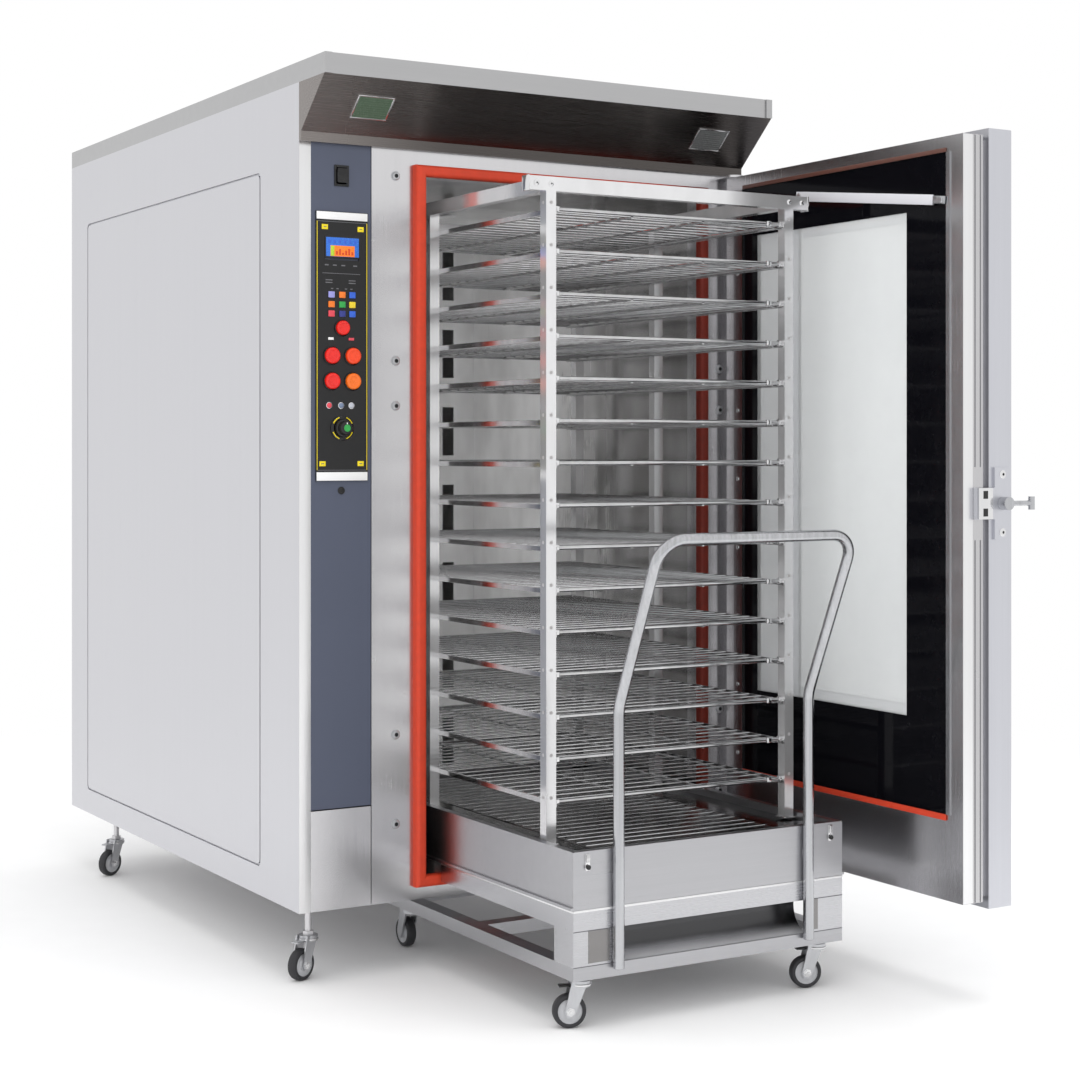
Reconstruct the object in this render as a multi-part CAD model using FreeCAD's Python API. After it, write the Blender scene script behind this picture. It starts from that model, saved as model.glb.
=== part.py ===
import FreeCAD, Part
import math
import os

# Rack oven with a loading cart and a shelf rack, shown with its door open and the rack half out.
# Millimetres, +Z up, X to the right of the front, Y into the oven.
# The origin is on the floor under the middle of the cabinet.

# Cabinet
CAB_WIDTH = 1270.0
CAB_BOTTOM = 176.0
PANEL_HEIGHT = 1946.0
WALL = 30.0
ROOF_THICKNESS = 48.0
ROOF_CAP = 18.0
BASE_SHEET = 6.0
BASE_BEAM_WIDTH = 60.0
FRAME_DEPTH = 40.0
PANEL_SHEET = 6.0

# Hood in front of the roof
HOOD_PROJECTION = 142.0
HOOD_DROP = 115.0
HOOD_LIP_HEIGHT = 23.0
HOOD_LIP_DEPTH = 12.0
LAMP_WIDTH = 95.0
LAMP_LENGTH = 70.0
LAMP_INSET = 105.0
LAMP_PROUD = 3.0

# Doorway, chamber and its gasket
COLUMN_WIDTH = 158.0
COLUMN_SEAM = 2.0
STILE_WIDTH = 138.0
HEAD_HEIGHT = 200.0
OPENING_SILL = 58.0
GASKET_WIDTH = 27.0
GASKET_DEPTH = 24.0
GASKET_ROUND = 9.0
LINER_SHEET = 8.0
CHAMBER_SPARE = 20.0
FAN_SPACE = 215.0
MOTOR_SPACE = 269.0
RAIL_WIDTH = 40.0
RAIL_START = 2.0
RAIL_STOP_GAP = 20.0

# Access panel in the left side
ACCESS_FRONT = 230.0
ACCESS_REAR = 150.0
ACCESS_LOW = 70.0
ACCESS_HIGH = 185.0
ACCESS_RECESS = 6.0
ACCESS_GROOVE = 5.0
ACCESS_CORNER = 14.0

# Control column
KICK_TOP = 412.0
KICK_GAP = 3.0
FASCIA_WIDTH = 134.0
FASCIA_BOTTOM = 1188.0
FASCIA_HEIGHT = 636.0
FASCIA_THICKNESS = 4.0
DISPLAY_WIDTH = 88.0
DISPLAY_HEIGHT = 56.0
DISPLAY_Z = 1738.0
KEY_SIZE = 20.0
KEY_PITCH = 26.0
KEY_Z = 1607.0
KEY_PROUD = 2.0
LAMP_DOT_R = 7.0
LAMP_DOT_Z = 1366.0
LAMP_DOT_PITCH = 30.0
START_R = 17.0
START_Z = 1550.0
ROUND_R = 19.0
ROUND_PITCH_X = 54.0
ROUND_TOP_Z = 1484.0
ROUND_PITCH_Z = 60.0
BUTTON_PROUD = 12.0
BUTTON_TAIL = 4.0
BUTTON_DOME = 3.0
BUTTON_CLEARANCE = 0.3
SELECTOR_Z = 1313.0
SELECTOR_R = 22.0
SELECTOR_RING_R = 30.0
SELECTOR_RING_DEPTH = 5.0
SELECTOR_PROUD = 24.0
SELECTOR_WAIST = 6.0
SELECTOR_FACE_R = 18.0
SELECTOR_NECK_R = 15.0
SELECTOR_STEM_R = 8.0
SELECTOR_CLEARANCE = 0.3
ROCKER_WIDTH = 26.0
ROCKER_HEIGHT = 38.0
ROCKER_CROWN = 6.0
ROCKER_TIP = 9.6
ROCKER_TIP_HEIGHT = 34.0
ROCKER_BACK_HEIGHT = 16.0
ROCKER_DEPTH = 16.0
ROCKER_PIN_R = 2.5
ROCKER_PIN_DEPTH = 12.0
ROCKER_PIN_REACH = 5.0
ROCKER_LUG = 6.0
ROCKER_LUG_HEIGHT = 18.0
ROCKER_Z = 1910.0

# Door, modelled where it stands open at a right angle
DOOR_HINGE_INSET = 43.0
DOOR_HINGE_FORWARD = 38.0
DOOR_FACE_OFFSET = 12.0
DOOR_HEEL = 28.0
PLUG_HEEL_CUT = 12.0
DOOR_OVERLAP = 54.0
PLUG_THICKNESS = 60.0
GROOVE_WIDTH = 12.0
GROOVE_DEPTH = 10.0
SLAB_THICKNESS = 74.0
SLAB_LIP = 6.0
PLUG_RISE = 2.0
SLAB_OVER = 16.0
SLAB_ROUND = 8.0
GLASS_HINGE_STILE = 83.0
GLASS_FREE_STILE = 53.0
GLASS_LOW = 196.0
GLASS_HIGH = 36.0
GLASS_THICKNESS = 10.0
GLASS_RECESS = 2.0
WINDOW_HINGE_BORDER = 61.0
WINDOW_FREE_BORDER = 140.0
WINDOW_LOW_BORDER = 210.0
WINDOW_HIGH_BORDER = 125.0
SEAL_HEIGHT = 14.0
SEAL_PROUD = 5.0
TRIM_HINGE_WIDTH = 36.0
TRIM_FREE_WIDTH = 12.0
TRIM_PROUD = 3.0
HINGE_PIN_R = 8.0
HINGE_PIN_CLEARANCE = 0.3
HINGE_PIN_LENGTH = 26.0
HINGE_PLATE = 6.0
HINGE_EYE_R = 24.0
HINGE_GAP = 0.4

# Door latch
LATCH_Z = 1140.0
LATCH_PLATE_WIDTH = 48.0
LATCH_PLATE_HEIGHT = 164.0
LATCH_PLATE_THICKNESS = 6.0
KEEPER_HEIGHT = 72.0
KEEPER_DEPTH = 14.0
LEVER_PIN_R = 8.0
LEVER_CLEARANCE = 0.3
LEVER_BOSS_R = 15.0
LEVER_BOSS_LENGTH = 22.0
LEVER_REACH = 78.0
LEVER_BAR_R = 6.0
LEVER_TEE = 30.0
LEVER_TEE_R = 7.5
LEVER_PIN_LENGTH = 12.0

# Rack base and cart
SLIDE_GAP = 0.3
CART_CLEARANCE = 33.0
CART_FRONT = 640.0
CHASSIS_BOTTOM = 112.0
CHASSIS_HEIGHT = 30.0
CHASSIS_LENGTH = 900.0
CHASSIS_BEAM = 40.0
RIM_BOTTOM = 219.0
RIM_BEAM = 40.0
RIM_STAND_OFF = 8.0
CORNER_FRONT = 100.0
CORNER_SIDE = 80.0
CORNER_SHEET = 6.0
RACK_BOTTOM = 266.0
BASE_HEIGHT = 126.0
BASE_LENGTH = 1150.0
BASE_WALL = 18.0
BASE_FLANGE = 6.0
BASE_LEDGE = 52.0
BASE_LEDGE_HEIGHT = 12.0
BASE_RIM_DROP = 20.0
GRID_THICKNESS = 6.0
GRID_BAR_COUNT = 24
GRID_BAR = 6.0
PAN_INSET = 105.0
PAN_DEPTH = 150.0
PAN_LIP = 40.0
LOCK_R = 9.0
LOCK_LENGTH = 14.0
LOCK_INSET = 36.0
LOCK_DROP = 24.0
LOCK_PLATE = 3.0
LOCK_PLATE_HEIGHT = 29.0
LOCK_PLATE_WIDTH = 36.0

# Shelf rack
POST_SIZE = 26.0
POST_INSET = 37.0
POST_FRONT_SETBACK = 167.0
POST_MIDDLE_SHIFT = 82.0
RACK_HEADROOM = 50.0
TOP_BAR_HEIGHT = 32.0
TOP_BAR_OVERHANG = 60.0
SHELF_COUNT = 15
SHELF_FIRST = 470.0
SHELF_TOP_DROP = 72.0
SHELF_THICKNESS = 5.0
SHELF_RAIL = 20.0
SHELF_WIRE_COUNT = 12
SHELF_WIRE = 6.0
FRONT_ROD_R = 5.0
RUNNER_HEIGHT = 14.0
RUNNER_SHEET = 4.0

# Push handle
HANDLE_R = 12.5
HANDLE_INSET = 109.0
HANDLE_BOTTOM = 132.0
HANDLE_KNEE = 700.0
HANDLE_TOP = 1072.0
HANDLE_LEAN = 165.0
HANDLE_KNEE_BEND = 90.0
HANDLE_CORNER_BEND = 62.0
HANDLE_CLIP = 34.0

# Casters
WHEEL_R = 37.5
WHEEL_WIDTH = 24.0
WHEEL_HUB_R = 14.0
WHEEL_HUB_WIDTH = 28.0
TYRE_ROUND = 4.0
AXLE_R = 6.0
AXLE_CLEARANCE = 0.3
FORK_TOP = 104.0
FORK_CROWN = 13.0
FORK_CROWN_R = 23.0
FORK_SHEET = 4.0
FORK_GAP = 0.5
FORK_EAR_R = 13.0
FORK_EAR_FLAT = 7.0
FORK_TRAIL = 26.0
STEM_R = 8.0
STEM_CLEARANCE = 0.3
STEM_SEAT = 8.0
NUT_R = 14.0
RUN_GAP = 0.3
NUT_HEIGHT = 9.0
CASTER_SIDE = 62.0
CASTER_FRONT = 86.0
CASTER_REAR = 230.0
CART_CASTER_INSET = 45.0
CART_CASTER_END = 42.0
BRAKE_LENGTH = 26.0
BRAKE_WIDTH = 20.0
BRAKE_SHEET = 3.0
OVEN_HEADING = 205.0
CART_HEADING = 160.0
FIXED_HEADING = 90.0

# Fan, heater and flue
FAN_Z = 1130.0
FAN_R = 210.0
FAN_HUB_R = 45.0
FAN_WIDTH = 110.0
FAN_SHEET = 4.0
FAN_BLADE_COUNT = 10
FAN_BLADE_TURN = 38.0
FAN_BLADE_LEAD = 23.5
FAN_EYE_R = 135.0
FAN_FRONT_GAP = 40.0
SHAFT_R = 12.0
SHAFT_CLEARANCE = 0.3
SHAFT_SEAT = 40.0
SHAFT_PASS = 4.0
MOTOR_R = 88.0
MOTOR_LENGTH = 215.0
MOTOR_FIN_COUNT = 12
MOTOR_FIN = 10.0
MOTOR_FLANGE_R = 120.0
MOTOR_FLANGE = 12.0
HEATER_R = 7.0
HEATER_COUNT = 2
HEATER_PITCH = 36.0
HEATER_WALL_GAP = 35.0
HEATER_LENGTH = 900.0
HEATER_STAND_OFF = 28.0
HEATER_CAP = 3.0
BAFFLE_SHEET = 6.0
BAFFLE_EYE_R = 150.0
BAFFLE_SLOT_COUNT = 7
BAFFLE_SLOT_WIDTH = 40.0
BAFFLE_SLOT_HEIGHT = 150.0
BAFFLE_SLOT_INSET = 70.0
FLUE_R = 75.0
FLUE_WALL = 3.0
FLUE_RISE = 84.0
FLUE_COLLAR = 4.0
FLUE_COLLAR_R = 95.0
FLUE_CLEARANCE = 0.5
FLUE_Y = 95.0
LOUVRE_COUNT = 9
LOUVRE_WIDTH = 420.0
LOUVRE_HEIGHT = 14.0
LOUVRE_PITCH = 40.0
LOUVRE_LOW = 420.0

# Places worked out from the sizes above
V = FreeCAD.Vector
UP = V(0, 0, 1)
RIGHT = V(1, 0, 0)
INWARD = V(0, 1, 0)
CHAMBER_DEPTH = BASE_LENGTH + CHAMBER_SPARE
CAB_DEPTH = FRAME_DEPTH + CHAMBER_DEPTH + BAFFLE_SHEET + FAN_SPACE + MOTOR_SPACE
LEFT = -CAB_WIDTH / 2
RIGHT_SIDE = CAB_WIDTH / 2
FRONT = -CAB_DEPTH / 2
REAR = CAB_DEPTH / 2
PANEL_TOP = CAB_BOTTOM + PANEL_HEIGHT
ROOF_TOP = PANEL_TOP + ROOF_THICKNESS
HOOD_BOTTOM = PANEL_TOP - HOOD_DROP - HOOD_LIP_HEIGHT
COLUMN_LEFT = LEFT + WALL
FRAME_LEFT = COLUMN_LEFT + COLUMN_WIDTH
COLUMN_X = (COLUMN_LEFT + FRAME_LEFT) / 2
DOORWAY_X = (FRAME_LEFT + RIGHT_SIDE) / 2
OPEN_LEFT = FRAME_LEFT + STILE_WIDTH
OPEN_RIGHT = RIGHT_SIDE - STILE_WIDTH
OPEN_LOW = CAB_BOTTOM + OPENING_SILL
OPEN_HIGH = PANEL_TOP - HEAD_HEIGHT
LINER_FRONT = FRONT + FRAME_DEPTH
BAFFLE_Y = LINER_FRONT + CHAMBER_DEPTH
LINER_REAR = BAFFLE_Y + BAFFLE_SHEET + FAN_SPACE
FASCIA_FACE = FRONT - FASCIA_THICKNESS
HINGE_X = RIGHT_SIDE - DOOR_HINGE_INSET
HINGE_Y = FRONT - DOOR_HINGE_FORWARD
CART_Y = FRONT - CART_FRONT
CART_LEFT = OPEN_LEFT + CART_CLEARANCE
CART_RIGHT = OPEN_RIGHT - CART_CLEARANCE


def block(x0, x1, y0, y1, z0, z1):
    return Part.makeBox(x1 - x0, y1 - y0, z1 - z0, V(x0, y0, z0))


def rod(start, direction, radius, length):
    return Part.makeCylinder(radius, length, start, direction)


def prism(points, direction):
    return Part.Face(Part.makePolygon(points + points[:1])).extrude(direction)


def save(name, *shapes):
    shape = shapes[0] if len(shapes) == 1 else Part.makeCompound(list(shapes))
    shape.exportStep("parts/%s.step" % name)


def fuse(shapes):
    return shapes[0].fuse(shapes[1:]).removeSplitter()


def ring(x0, x1, z0, z1, width, y0, y1):
    """A rectangular ring in the front plane, given by its inner edges and its width."""
    outer = block(x0 - width, x1 + width, y0, y1, z0 - width, z1 + width)
    return outer.cut(block(x0, x1, y0, y1, z0, z1))


def slotted_plate(x0, x1, y0, y1, z, thickness, edge, bars, bar):
    """A flat grid: an edge all round and thin bars along X, cut from one plate."""
    slots = []
    gap = (y1 - y0 - 2 * edge - bars * bar) / (bars + 1)
    for i in range(bars + 1):
        a = y0 + edge + i * (gap + bar)
        slots.append(block(x0 + edge, x1 - edge, a, a + gap, z, z + thickness))
    return block(x0, x1, y0, y1, z, z + thickness).cut(slots)


def bent_tube(points, bends, radius):
    """A round tube through the points, with an arc of the given radius at each inner point."""
    edges = []
    start = points[0]
    for before, corner, after, bend in zip(points, points[1:], points[2:], bends):
        u = (before - corner).normalize()
        w = (after - corner).normalize()
        half = u.getAngle(w) / 2
        reach = bend / math.tan(half)
        middle = corner + (u + w).normalize() * (bend / math.sin(half) - bend)
        edges.append(Part.LineSegment(start, corner + u * reach).toShape())
        edges.append(Part.Arc(corner + u * reach, middle, corner + w * reach).toShape())
        start = corner + w * reach
    edges.append(Part.LineSegment(start, points[-1]).toShape())
    section = Part.Wire(Part.makeCircle(radius, points[0], points[1] - points[0]))
    return Part.Wire(edges).makePipeShell([section], True, True)


# Cabinet shell

def base_frame():
    """The floor sheet, three cross beams under the chamber and the four caster stems."""
    low = CAB_BOTTOM
    floor_top = low + BASE_SHEET
    liner_bottom = OPEN_LOW - LINER_SHEET
    sheet = block(COLUMN_LEFT, RIGHT_SIDE - WALL, LINER_FRONT, REAR - WALL, low, floor_top)
    column_floor = block(COLUMN_LEFT, FRAME_LEFT, FRONT + PANEL_SHEET, LINER_FRONT, low, floor_top)
    pieces = [fuse([sheet, column_floor])]
    for y in (LINER_FRONT, (LINER_FRONT + REAR - WALL) / 2, REAR - WALL - BASE_BEAM_WIDTH):
        pieces.append(block(COLUMN_LEFT, RIGHT_SIDE - WALL, y, y + BASE_BEAM_WIDTH, floor_top, liner_bottom))
    return pieces + [caster_stem(x, y, low) for x, y in oven_casters()]


def left_side_panel():
    panel = block(LEFT, COLUMN_LEFT, FRONT, REAR, CAB_BOTTOM, PANEL_TOP)
    return panel.cut(access_outline(LEFT, ACCESS_RECESS, 0))


def access_outline(x, depth, inset):
    """The rounded outline of the access panel, drawn in by the groove round it."""
    y0 = FRONT + ACCESS_FRONT + inset
    y1 = REAR - ACCESS_REAR - inset
    z0 = CAB_BOTTOM + ACCESS_LOW + inset
    z1 = PANEL_TOP - ACCESS_HIGH - inset
    plate = block(x, x + depth, y0, y1, z0, z1)
    corners = [e for e in plate.Edges if e.tangentAt(e.FirstParameter).isEqual(RIGHT, 1e-6)
               or e.tangentAt(e.FirstParameter).isEqual(-RIGHT, 1e-6)]
    return plate.makeFillet(ACCESS_CORNER, corners)


def back_panel():
    panel = block(COLUMN_LEFT, RIGHT_SIDE - WALL, REAR - WALL, REAR, CAB_BOTTOM, PANEL_TOP)
    slots = []
    for i in range(LOUVRE_COUNT):
        z = LOUVRE_LOW + i * LOUVRE_PITCH
        slots.append(block(-LOUVRE_WIDTH / 2, LOUVRE_WIDTH / 2, REAR - WALL, REAR, z, z + LOUVRE_HEIGHT))
    return panel.cut(slots)


def roof_panel():
    slab = block(LEFT, RIGHT_SIDE, FRONT - HOOD_PROJECTION, REAR, PANEL_TOP, ROOF_TOP)
    pieces = [slab]
    for x in (LEFT, RIGHT_SIDE - ROOF_CAP):
        cap_front = FRONT - HOOD_PROJECTION - FASCIA_THICKNESS
        pieces.append(block(x, x + ROOF_CAP, cap_front, cap_front + ROOF_CAP, PANEL_TOP, ROOF_TOP))
    hole = rod(V(DOORWAY_X, flue_y(), PANEL_TOP), UP, FLUE_R - FLUE_WALL + FLUE_CLEARANCE, ROOF_THICKNESS)
    return fuse(pieces).cut(hole)


def hood_canopy():
    lip_top = HOOD_BOTTOM + HOOD_LIP_HEIGHT
    lip = FRONT - HOOD_LIP_DEPTH
    points = [V(LEFT, FRONT, PANEL_TOP), V(LEFT, FRONT - HOOD_PROJECTION, PANEL_TOP), V(LEFT, lip, lip_top),
              V(LEFT, lip, HOOD_BOTTOM), V(LEFT, FRONT, HOOD_BOTTOM)]
    return prism(points, RIGHT * CAB_WIDTH)


def hood_lamp(x):
    """A lamp plate that lies on the sloping underside of the hood."""
    a = V(x, FRONT - HOOD_PROJECTION, PANEL_TOP)
    b = V(x, FRONT - HOOD_LIP_DEPTH, HOOD_BOTTOM + HOOD_LIP_HEIGHT)
    along = (b - a).normalize()
    down = RIGHT.cross(along).normalize()
    if down.z > 0:
        down = -down
    middle = (a + b) / 2
    start = middle - along * (LAMP_LENGTH / 2)
    end = middle + along * (LAMP_LENGTH / 2)
    return prism([start, end, end + down * LAMP_PROUD, start + down * LAMP_PROUD], RIGHT * LAMP_WIDTH)


def front_frame():
    """Two stiles, a sill and a head round the doorway."""
    def member(x0, x1, z0, z1):
        return block(x0, x1, FRONT, LINER_FRONT, z0, z1)
    return [member(FRAME_LEFT, OPEN_LEFT, CAB_BOTTOM, PANEL_TOP),
            member(OPEN_RIGHT, RIGHT_SIDE, CAB_BOTTOM, PANEL_TOP),
            member(OPEN_LEFT, OPEN_RIGHT, CAB_BOTTOM, OPEN_LOW),
            member(OPEN_LEFT, OPEN_RIGHT, OPEN_HIGH, PANEL_TOP)]


def opening_gasket():
    seal = ring(OPEN_LEFT, OPEN_RIGHT, OPEN_LOW, OPEN_HIGH, GASKET_WIDTH, FRONT - GASKET_DEPTH, FRONT)
    front_edges = [e for e in seal.Edges if abs(e.CenterOfMass.y - (FRONT - GASKET_DEPTH)) < 0.01]
    return seal.makeFillet(GASKET_ROUND, front_edges)


def chamber_liner():
    """Five walls of the chamber and the two rails that the rack runs on."""
    left = OPEN_LEFT - LINER_SHEET
    right = OPEN_RIGHT + LINER_SHEET
    low = OPEN_LOW - LINER_SHEET
    high = OPEN_HIGH + LINER_SHEET
    back = LINER_REAR - LINER_SHEET
    flue_hole = rod(V(DOORWAY_X, flue_y(), OPEN_HIGH), UP, FLUE_R - 2 * FLUE_WALL, LINER_SHEET)
    shaft_hole = rod(V(DOORWAY_X, back, FAN_Z), INWARD, SHAFT_R + SHAFT_PASS, LINER_SHEET)
    walls = [block(left, OPEN_LEFT, LINER_FRONT, back, OPEN_LOW, OPEN_HIGH),
             block(OPEN_RIGHT, right, LINER_FRONT, back, OPEN_LOW, OPEN_HIGH),
             block(left, right, LINER_FRONT, back, low, OPEN_LOW),
             block(left, right, LINER_FRONT, back, OPEN_HIGH, high).cut(flue_hole),
             block(left, right, back, LINER_REAR, low, high).cut(shaft_hole)]
    for x in (CART_LEFT, CART_RIGHT - RAIL_WIDTH):
        walls.append(block(x, x + RAIL_WIDTH, FRONT + RAIL_START, BAFFLE_Y - RAIL_STOP_GAP,
                           OPEN_LOW, RACK_BOTTOM - SLIDE_GAP))
    return walls


def rear_baffle():
    plate = block(OPEN_LEFT, OPEN_RIGHT, BAFFLE_Y, BAFFLE_Y + BAFFLE_SHEET, OPEN_LOW, OPEN_HIGH)
    holes = [rod(V(DOORWAY_X, BAFFLE_Y, FAN_Z), INWARD, BAFFLE_EYE_R, BAFFLE_SHEET)]
    pitch = (OPEN_HIGH - OPEN_LOW) / BAFFLE_SLOT_COUNT
    for i in range(BAFFLE_SLOT_COUNT):
        z = OPEN_LOW + (i + 0.5) * pitch - BAFFLE_SLOT_HEIGHT / 2
        for x in (OPEN_LEFT + BAFFLE_SLOT_INSET, OPEN_RIGHT - BAFFLE_SLOT_INSET - BAFFLE_SLOT_WIDTH):
            holes.append(block(x, x + BAFFLE_SLOT_WIDTH, BAFFLE_Y, BAFFLE_Y + BAFFLE_SHEET,
                               z, z + BAFFLE_SLOT_HEIGHT))
    return plate.cut(holes)


def flue_y():
    return LINER_FRONT + FLUE_Y + CHAMBER_DEPTH / 2


def flue_spigot():
    """A duct from the chamber to the roof, with a collar and a spigot for the chimney pipe."""
    def tube(z0, z1, radius):
        start = V(DOORWAY_X, flue_y(), z0)
        return rod(start, UP, radius, z1 - z0).cut(rod(start, UP, FLUE_R - 2 * FLUE_WALL, z1 - z0))
    duct = tube(OPEN_HIGH + LINER_SHEET, ROOF_TOP, FLUE_R - FLUE_WALL)
    collar = tube(ROOF_TOP, ROOF_TOP + FLUE_COLLAR, FLUE_COLLAR_R)
    spigot = tube(ROOF_TOP + FLUE_COLLAR, ROOF_TOP + FLUE_COLLAR + FLUE_RISE, FLUE_R)
    return fuse([duct, collar, spigot])


# Fan and heater behind the baffle

def fan_impeller():
    y0 = BAFFLE_Y + BAFFLE_SHEET + FAN_FRONT_GAP
    y1 = y0 + FAN_WIDTH
    centre = V(DOORWAY_X, y0, FAN_Z)
    front_ring = rod(centre, INWARD, FAN_R, FAN_SHEET).cut(rod(centre, INWARD, FAN_EYE_R, FAN_SHEET))
    back_disc = rod(V(DOORWAY_X, y1 - FAN_SHEET, FAN_Z), INWARD, FAN_R, FAN_SHEET)
    hub = rod(V(DOORWAY_X, y1 - FAN_WIDTH / 2, FAN_Z), INWARD, FAN_HUB_R, FAN_WIDTH / 2)
    shaft_end = LINER_REAR + SHAFT_SEAT
    shaft = rod(V(DOORWAY_X, y1, FAN_Z), INWARD, SHAFT_R, shaft_end - y1)
    pieces = [front_ring, back_disc, hub, shaft]
    for i in range(FAN_BLADE_COUNT):
        pieces.append(fan_blade(y0 + FAN_SHEET, 360.0 * i / FAN_BLADE_COUNT))
    return fuse(pieces)


def fan_blade(y, angle):
    """A backward-curved blade: an arc from the eye to the rim, thickened and run across the wheel."""
    def polar(radius, turn):
        a = math.radians(angle + turn)
        return V(DOORWAY_X + radius * math.cos(a), y, FAN_Z + radius * math.sin(a))
    inner = FAN_EYE_R - 2 * FAN_SHEET
    outer = FAN_R - FAN_SHEET
    mid = (inner + outer) / 2
    thick = math.degrees(FAN_SHEET / mid)
    lead = FAN_BLADE_LEAD
    first = Part.Arc(polar(inner, 0), polar(mid, lead), polar(outer, FAN_BLADE_TURN)).toShape()
    last = FAN_BLADE_TURN + thick
    second = Part.Arc(polar(inner, thick), polar(mid, lead + thick), polar(outer, last)).toShape()
    ends = [Part.LineSegment(a.Vertexes[i].Point, b.Vertexes[i].Point).toShape()
            for a, b, i in ((first, second, 0), (first, second, 1))]
    wire = Part.Wire(Part.__sortEdges__([first, ends[1], second, ends[0]]))
    return Part.Face(wire).extrude(INWARD * (FAN_WIDTH - 2 * FAN_SHEET))


def fan_motor():
    flange = rod(V(DOORWAY_X, LINER_REAR, FAN_Z), INWARD, MOTOR_FLANGE_R, MOTOR_FLANGE)
    body = rod(V(DOORWAY_X, LINER_REAR, FAN_Z), INWARD, MOTOR_R, MOTOR_LENGTH)
    pieces = [flange, body]
    fin_start = LINER_REAR + MOTOR_FLANGE
    fin_length = MOTOR_LENGTH - 3 * MOTOR_FLANGE
    for i in range(MOTOR_FIN_COUNT):
        fin = block(-FAN_SHEET / 2, FAN_SHEET / 2, fin_start, fin_start + fin_length, 0, MOTOR_R + MOTOR_FIN)
        fin.rotate(V(0, 0, 0), INWARD, 360.0 * i / MOTOR_FIN_COUNT)
        fin.translate(V(DOORWAY_X, 0, FAN_Z))
        pieces.append(fin)
    bore = rod(V(DOORWAY_X, LINER_REAR, FAN_Z), INWARD, SHAFT_R + SHAFT_CLEARANCE, SHAFT_SEAT + MOTOR_FLANGE)
    return fuse(pieces).cut(bore)


def heating_elements():
    """Hairpin tubes in a bank on each side of the fan, with feet on the back of the liner."""
    back = LINER_REAR - LINER_SHEET
    low = FAN_Z - HEATER_LENGTH / 2
    high = FAN_Z + HEATER_LENGTH / 2
    hairpins = []
    margin = HEATER_R + HEATER_CAP
    y = back - HEATER_STAND_OFF
    reach = (OPEN_RIGHT - OPEN_LEFT) / 2 - HEATER_WALL_GAP
    for side in (-1, 1):
        for i in range(HEATER_COUNT):
            x0 = DOORWAY_X + side * (reach - 2 * i * HEATER_PITCH)
            x1 = x0 - side * HEATER_PITCH
            pieces = [rod(V(x, y, low), UP, HEATER_R, high - low) for x in (x0, x1)]
            left = min(x0, x1) - margin
            right = max(x0, x1) + margin
            pieces.append(block(left, right, y - margin, y + margin, high, high + 2 * margin))
            pieces.append(block(left, right, y - margin, back, low - 2 * margin, low))
            hairpins.append(fuse(pieces))
    return hairpins


# Control column

def button_places():
    """Name, X, Z and radius of each push button."""
    places = [("start_button", COLUMN_X, START_Z, START_R)]
    for row in range(2):
        for col in range(2):
            x = COLUMN_X + (col - 0.5) * ROUND_PITCH_X
            z = ROUND_TOP_Z - row * ROUND_PITCH_Z
            places.append(("round_button_%d" % (1 + 2 * row + col), x, z, ROUND_R))
    return places


def push_button(x, z, radius):
    face = FASCIA_FACE - BUTTON_PROUD
    cap = rod(V(x, face, z), INWARD, radius, FRONT + PANEL_SHEET + BUTTON_TAIL - face)
    front_edge = [e for e in cap.Edges if abs(e.CenterOfMass.y - face) < 0.01]
    return cap.makeChamfer(BUTTON_DOME, front_edge)


def control_holes():
    depth = FASCIA_THICKNESS + PANEL_SHEET
    holes = []
    for _, x, z, r in button_places():
        holes.append(rod(V(x, FASCIA_FACE, z), INWARD, r + BUTTON_CLEARANCE, depth))
    stem_r = SELECTOR_STEM_R + SELECTOR_CLEARANCE
    holes.append(rod(V(COLUMN_X, FASCIA_FACE, SELECTOR_Z), INWARD, stem_r, depth))
    return holes


def control_column():
    right = FRAME_LEFT - COLUMN_SEAM
    back = FRONT + PANEL_SHEET
    pieces = [block(COLUMN_LEFT, right, FRONT, back, KICK_TOP + KICK_GAP, PANEL_TOP)]
    half_w = ROCKER_WIDTH / 2 + BUTTON_CLEARANCE
    half_h = ROCKER_HEIGHT / 2 + BUTTON_CLEARANCE
    rocker_hole = block(COLUMN_X - half_w, COLUMN_X + half_w, FRONT, back,
                        ROCKER_Z - half_h, ROCKER_Z + half_h)
    lug = ROCKER_LUG_HEIGHT / 2
    for x in (COLUMN_X - half_w - ROCKER_LUG, COLUMN_X + half_w):
        pieces.append(block(x, x + ROCKER_LUG, back, back + ROCKER_DEPTH, ROCKER_Z - lug, ROCKER_Z + lug))
    return fuse(pieces).cut(control_holes() + [rocker_hole, rocker_pin(RUN_GAP)])


def rocker_pin(clearance):
    half = ROCKER_WIDTH / 2 + ROCKER_PIN_REACH + clearance
    start = V(COLUMN_X - half, FRONT + ROCKER_PIN_DEPTH, ROCKER_Z)
    return rod(start, RIGHT, ROCKER_PIN_R + clearance, 2 * half)


def kick_cover():
    return block(COLUMN_LEFT, FRAME_LEFT - COLUMN_SEAM, FRONT, FRONT + PANEL_SHEET, CAB_BOTTOM, KICK_TOP)


def control_fascia():
    plate = block(COLUMN_X - FASCIA_WIDTH / 2, COLUMN_X + FASCIA_WIDTH / 2, FASCIA_FACE, FRONT,
                  FASCIA_BOTTOM, FASCIA_BOTTOM + FASCIA_HEIGHT)
    screen = block(COLUMN_X - DISPLAY_WIDTH / 2, COLUMN_X + DISPLAY_WIDTH / 2, FASCIA_FACE, FRONT,
                   DISPLAY_Z - DISPLAY_HEIGHT / 2, DISPLAY_Z + DISPLAY_HEIGHT / 2)
    return plate.cut(control_holes() + [screen])


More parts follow.
